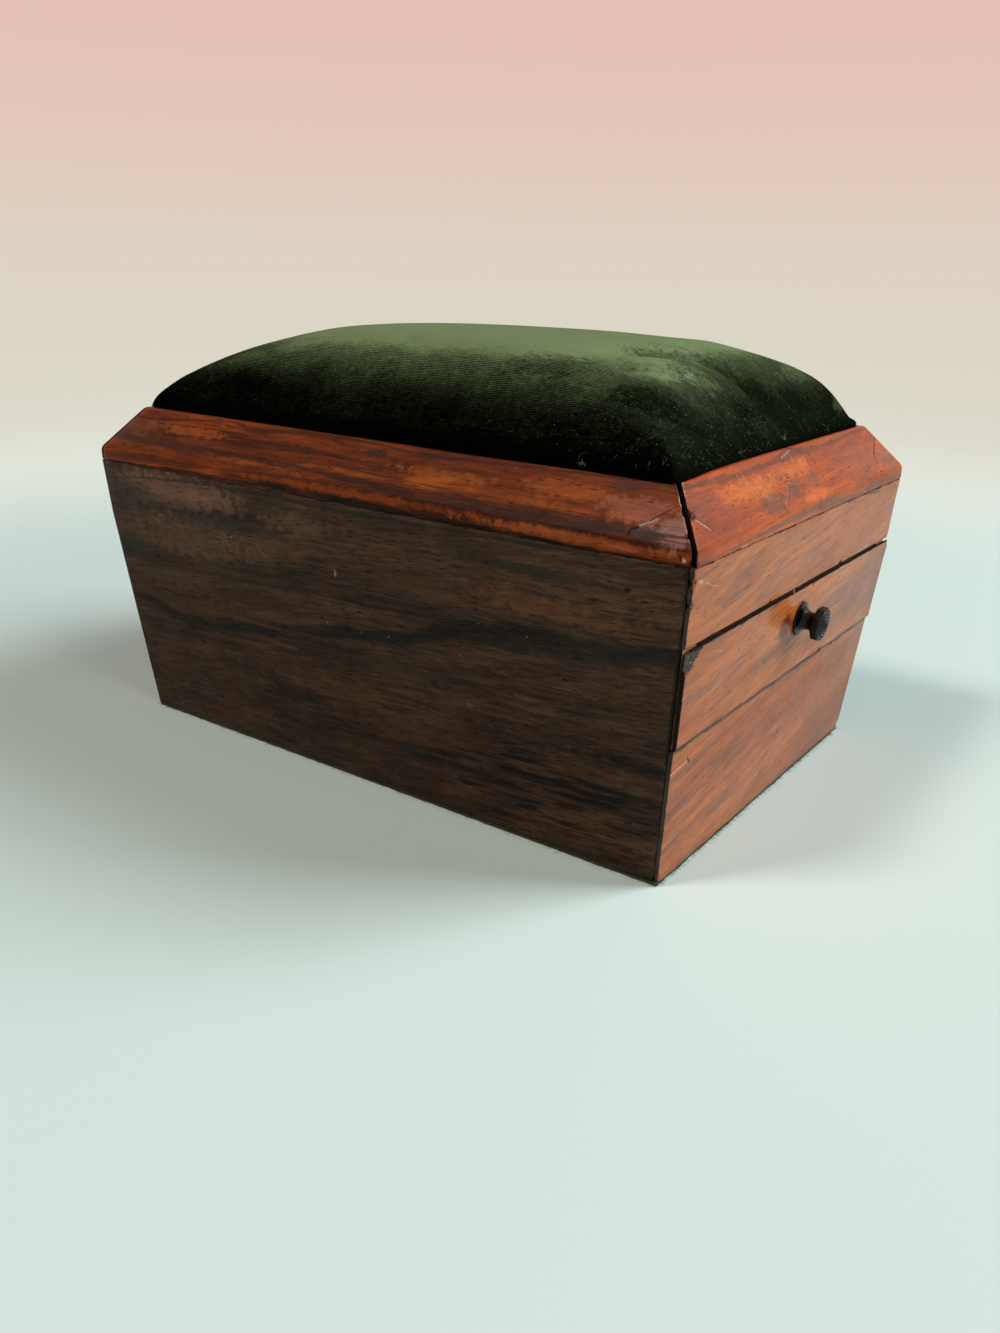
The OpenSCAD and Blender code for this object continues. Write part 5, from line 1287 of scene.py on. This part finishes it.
def makeEbony():
    material, tree, surface = newMaterial("blackKnob")
    place = vectorNode(tree, "MULTIPLY", addNode(tree, "ShaderNodeTexCoord").outputs["Object"], (1000, 1000, 1000))
    grain = noiseNode(tree, vectorNode(tree, "MULTIPLY", place, (0.6, 3.0, 3.0)), 1.0, 4, 0.65)
    dust = noiseNode(tree, place, 1.5, 5, 0.7)
    colour = mixColours(tree, mapRange(tree, grain, 0.4, 0.7), (0.0008, 0.0007, 0.0007), (0.003, 0.0024, 0.002))
    colour = mixColours(tree, mapRange(tree, dust, 0.64, 0.76, 0, 0.10), colour, (0.03, 0.03, 0.02))
    tree.links.new(colour, surface.inputs["Base Color"])
    tree.links.new(mapRange(tree, dust, 0.35, 0.7, 0.10, 0.24), surface.inputs["Roughness"])
    bump = addNode(tree, "ShaderNodeBump", {"Height": mathNode(tree, "ADD", grain, dust), "Strength": 0.5, "Distance": 0.0001})
    tree.links.new(bump.outputs[0], surface.inputs["Normal"])
    surface.inputs["Specular IOR Level"].default_value = 0.16
    surface.inputs["Coat Weight"].default_value = 0.12
    surface.inputs["Coat Roughness"].default_value = 0.10
    return material


# Old glue and broken veneer, a dark shiny crust at the drawer's near upper corner

crust = {
    # outline on the drawer's face, in mm along Y and up Z
    "outline": [(-60.9, 56.2), (-60.8, 52.6), (-60.0, 51.9), (-59.0, 52.1), (-58.0, 53.0), (-57.2, 54.2), (-56.2, 55.2), (-54.4, 55.8), (-53.6, 56.2)],
    "step": 0.14,  # mm
    "height": 0.42, "ridges": 0.7,  # mm
}


def insideOutline(across, up, outline):
    inside = False
    for (ax, ay), (bx, by) in zip(outline, outline[1:] + outline[:1]):
        if (ay > up) != (by > up) and across < (bx - ax) * (up - ay) / (by - ay) + ax:
            inside = not inside
    return inside


def makeCrust():
    outline = crust["outline"]
    faceTop = drawerBox[1]
    pairs = [(Vector((a[0], a[1], 0)) * mm, (Vector((b[0], b[1], 0)) - Vector((a[0], a[1], 0))) * mm) for a, b in zip(outline, outline[1:])]
    pairs = [(start, run, run.length_squared) for start, run in pairs]
    bm = bmesh.new()
    columns = int((outline[-1][0] - outline[0][0]) / crust["step"])
    rows = int((outline[0][1] - 51.9) / crust["step"])
    grid = {}
    for i in range(columns + 1):
        for j in range(rows + 1):
            across, up = outline[0][0] + i * crust["step"], 51.9 + j * crust["step"]
            if not insideOutline(across, up - 0.001, outline):
                continue
            spot = Vector((across, up, 0)) * mm
            inward = min(1.0, distanceToEdge(spot, pairs) / (0.55 * mm))
            ridge = 1 - abs(2 * noise.noise(Vector((across * 0.9, up * 0.55 + across * 0.5, 1.7)) * 1.5))
            swirl = 1 - abs(2 * noise.noise(Vector((across * 1.3, up * 1.3, 8.1)) * 1.8))
            lift = (crust["height"] * (0.35 + 0.65 * inward) + crust["ridges"] * (ridge * 0.7 + swirl * 0.5 - 0.6) * inward) * mm
            grid[i, j] = bm.verts.new((faceTop.x - (faceTop.z - up * mm) * taper[0] + max(lift, 0.05 * mm), across * mm, up * mm))
    for (i, j), corner in list(grid.items()):
        others = [grid.get(key) for key in ((i + 1, j), (i + 1, j + 1), (i, j + 1))]
        if all(others):
            bm.faces.new([corner] + others)
    loose = [v for v in bm.verts if not v.link_faces]
    bmesh.ops.delete(bm, geom=loose, context="VERTS")
    made = bmesh.ops.extrude_face_region(bm, geom=bm.faces[:])["geom"]
    for vert in (g for g in made if isinstance(g, bmesh.types.BMVert)):
        vert.co.x = faceTop.x - (faceTop.z - vert.co.z) * taper[0] - 0.4 * mm
    bmesh.ops.recalc_face_normals(bm, faces=bm.faces[:])
    piece = meshObject("old_glue", bm, smooth=True, sharpAngle=60)
    material, tree, surface = newMaterial("oldGlue")
    place = vectorNode(tree, "MULTIPLY", addNode(tree, "ShaderNodeTexCoord").outputs["Object"], (1000, 1000, 1000))
    flecksAndGlints = noiseNode(tree, place, 1.3, 5, 0.7)
    colour = mixColours(tree, mapRange(tree, flecksAndGlints, 0.42, 0.58), (0.006, 0.004, 0.003), (0.055, 0.020, 0.013))
    # pale flecks in the crust, partly painted glints on its shiny surface
    colour = mixColours(tree, mapRange(tree, flecksAndGlints, 0.60, 0.66), colour, (0.45, 0.27, 0.22))
    tree.links.new(colour, surface.inputs["Base Color"])
    bump = addNode(tree, "ShaderNodeBump", {"Height": flecksAndGlints, "Strength": 0.8, "Distance": 0.0003})
    tree.links.new(bump.outputs[0], surface.inputs["Normal"])
    surface.inputs["Roughness"].default_value = 0.16
    surface.inputs["Coat Weight"].default_value = 0.8
    surface.inputs["Coat Roughness"].default_value = 0.08
    piece.data.materials.append(material)
    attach(piece, "drawer")


# Plain finishes of what shows only with the drawer out, or not at all: two tones, scale per mm, roughness, bump mm

finishes = {
    "liningPaper": ((0.34, 0.14, 0.13), (0.46, 0.24, 0.21), 0.25, 0.85, 0.05, 0.0),
    "dullIron": ((0.05, 0.045, 0.04), (0.16, 0.11, 0.08), 1.2, 0.5, 0.08, 0.8),
    "lead": ((0.16, 0.165, 0.18), (0.30, 0.31, 0.33), 0.3, 0.6, 0.1, 0.7),
    "wadding": ((0.40, 0.36, 0.29), (0.62, 0.57, 0.48), 0.6, 0.95, 0.5, 0.0),
    "wool": ((0.50, 0.45, 0.36), (0.70, 0.65, 0.54), 0.5, 0.95, 0.5, 0.0),
}
finishOf = {
    "liningPaper": ["drawer_lining"], "dullIron": ["carcass_brads", "velvet_tacks", "drawer_pins"], "lead": ["lead_weight"],
    "wadding": ["weight_packing"], "wool": ["cushion_filling"],
    # the rails and the drawer's front board carry painted shade in the drawer's gaps, with dust
    "mahogany": ["drawer_left_side", "drawer_right_side", "drawer_back", "drawer_bottom"], "grimyMahogany": ["drawer_front"],
    "pine": ["base_board", "left_side", "right_side", "back_end", "dust_board", "top_board", "weight_battens", "drawer_stops", "pad_board"],
    "grimyPine": ["front_top_rail", "front_bottom_rail"],
}


def makeFinish(name):
    first, second, scale, roughness, relief, metal = finishes[name]
    material, tree, surface = newMaterial(name)
    place = vectorNode(tree, "MULTIPLY", addNode(tree, "ShaderNodeTexCoord").outputs["Object"], (1000, 1000, 1000))
    mottle = noiseNode(tree, place, scale, 5, 0.65)
    stains = noiseNode(tree, place, scale * 0.2, 3, 0.6)
    colour = mixColours(tree, mapRange(tree, mottle, 0.35, 0.65), first, second)
    colour = mixColours(tree, mapRange(tree, stains, 0.5, 0.7, 0, 0.4), colour, tuple(c * 0.55 for c in first))
    tree.links.new(colour, surface.inputs["Base Color"])
    tree.links.new(mapRange(tree, stains, 0.3, 0.7, roughness - 0.1, min(1.0, roughness + 0.1)), surface.inputs["Roughness"])
    bump = addNode(tree, "ShaderNodeBump", {"Height": mottle, "Strength": 0.6, "Distance": relief * mm})
    tree.links.new(bump.outputs[0], surface.inputs["Normal"])
    surface.inputs["Metallic"].default_value = metal
    return material


def dressNodes(materials):
    for name, nodes in finishOf.items():
        for node in nodes:
            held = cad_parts[node]
            held.data.materials.clear()
            held.data.materials.append(materials[name])
            rounding = held.modifiers.new("rounding", "BEVEL")
            rounding.width = 0.15 * mm
            rounding.segments = 2
            rounding.limit_method = "ANGLE"
            rounding.angle_limit = math.radians(50)


# Build everything

makeCamera()
makeLamps()
makeStage()
print("camera, lamps and backdrop ready")

groups = {"figure": figureGroup(), "spot": spotGroup(), "scratch": scratchGroup(), "edges": edgeGroup()}
materials = {name: makeRosewood(name, groups) for name in woods}
materials.update({name: makeFinish(name) for name in finishes})
# faces inside the gaps and mitres: dust and painted shade
materials["grime"] = makeGapDustAndShade()
for node in woodWork:
    makeWood(node, materials)
print("veneers and mouldings ready")

velvetPiece = makeCushion(makeVelvet(groups))
makeLint(velvetPiece)
print("cushion ready")

makeBaize(makeBaizeShader())
makeKnob(makeEbony())
makeCrust()
dressNodes(materials)
print("baize, knob and inner boards ready")

bpy.context.scene.view_settings.view_transform = "Standard"
bpy.context.view_layer.update()
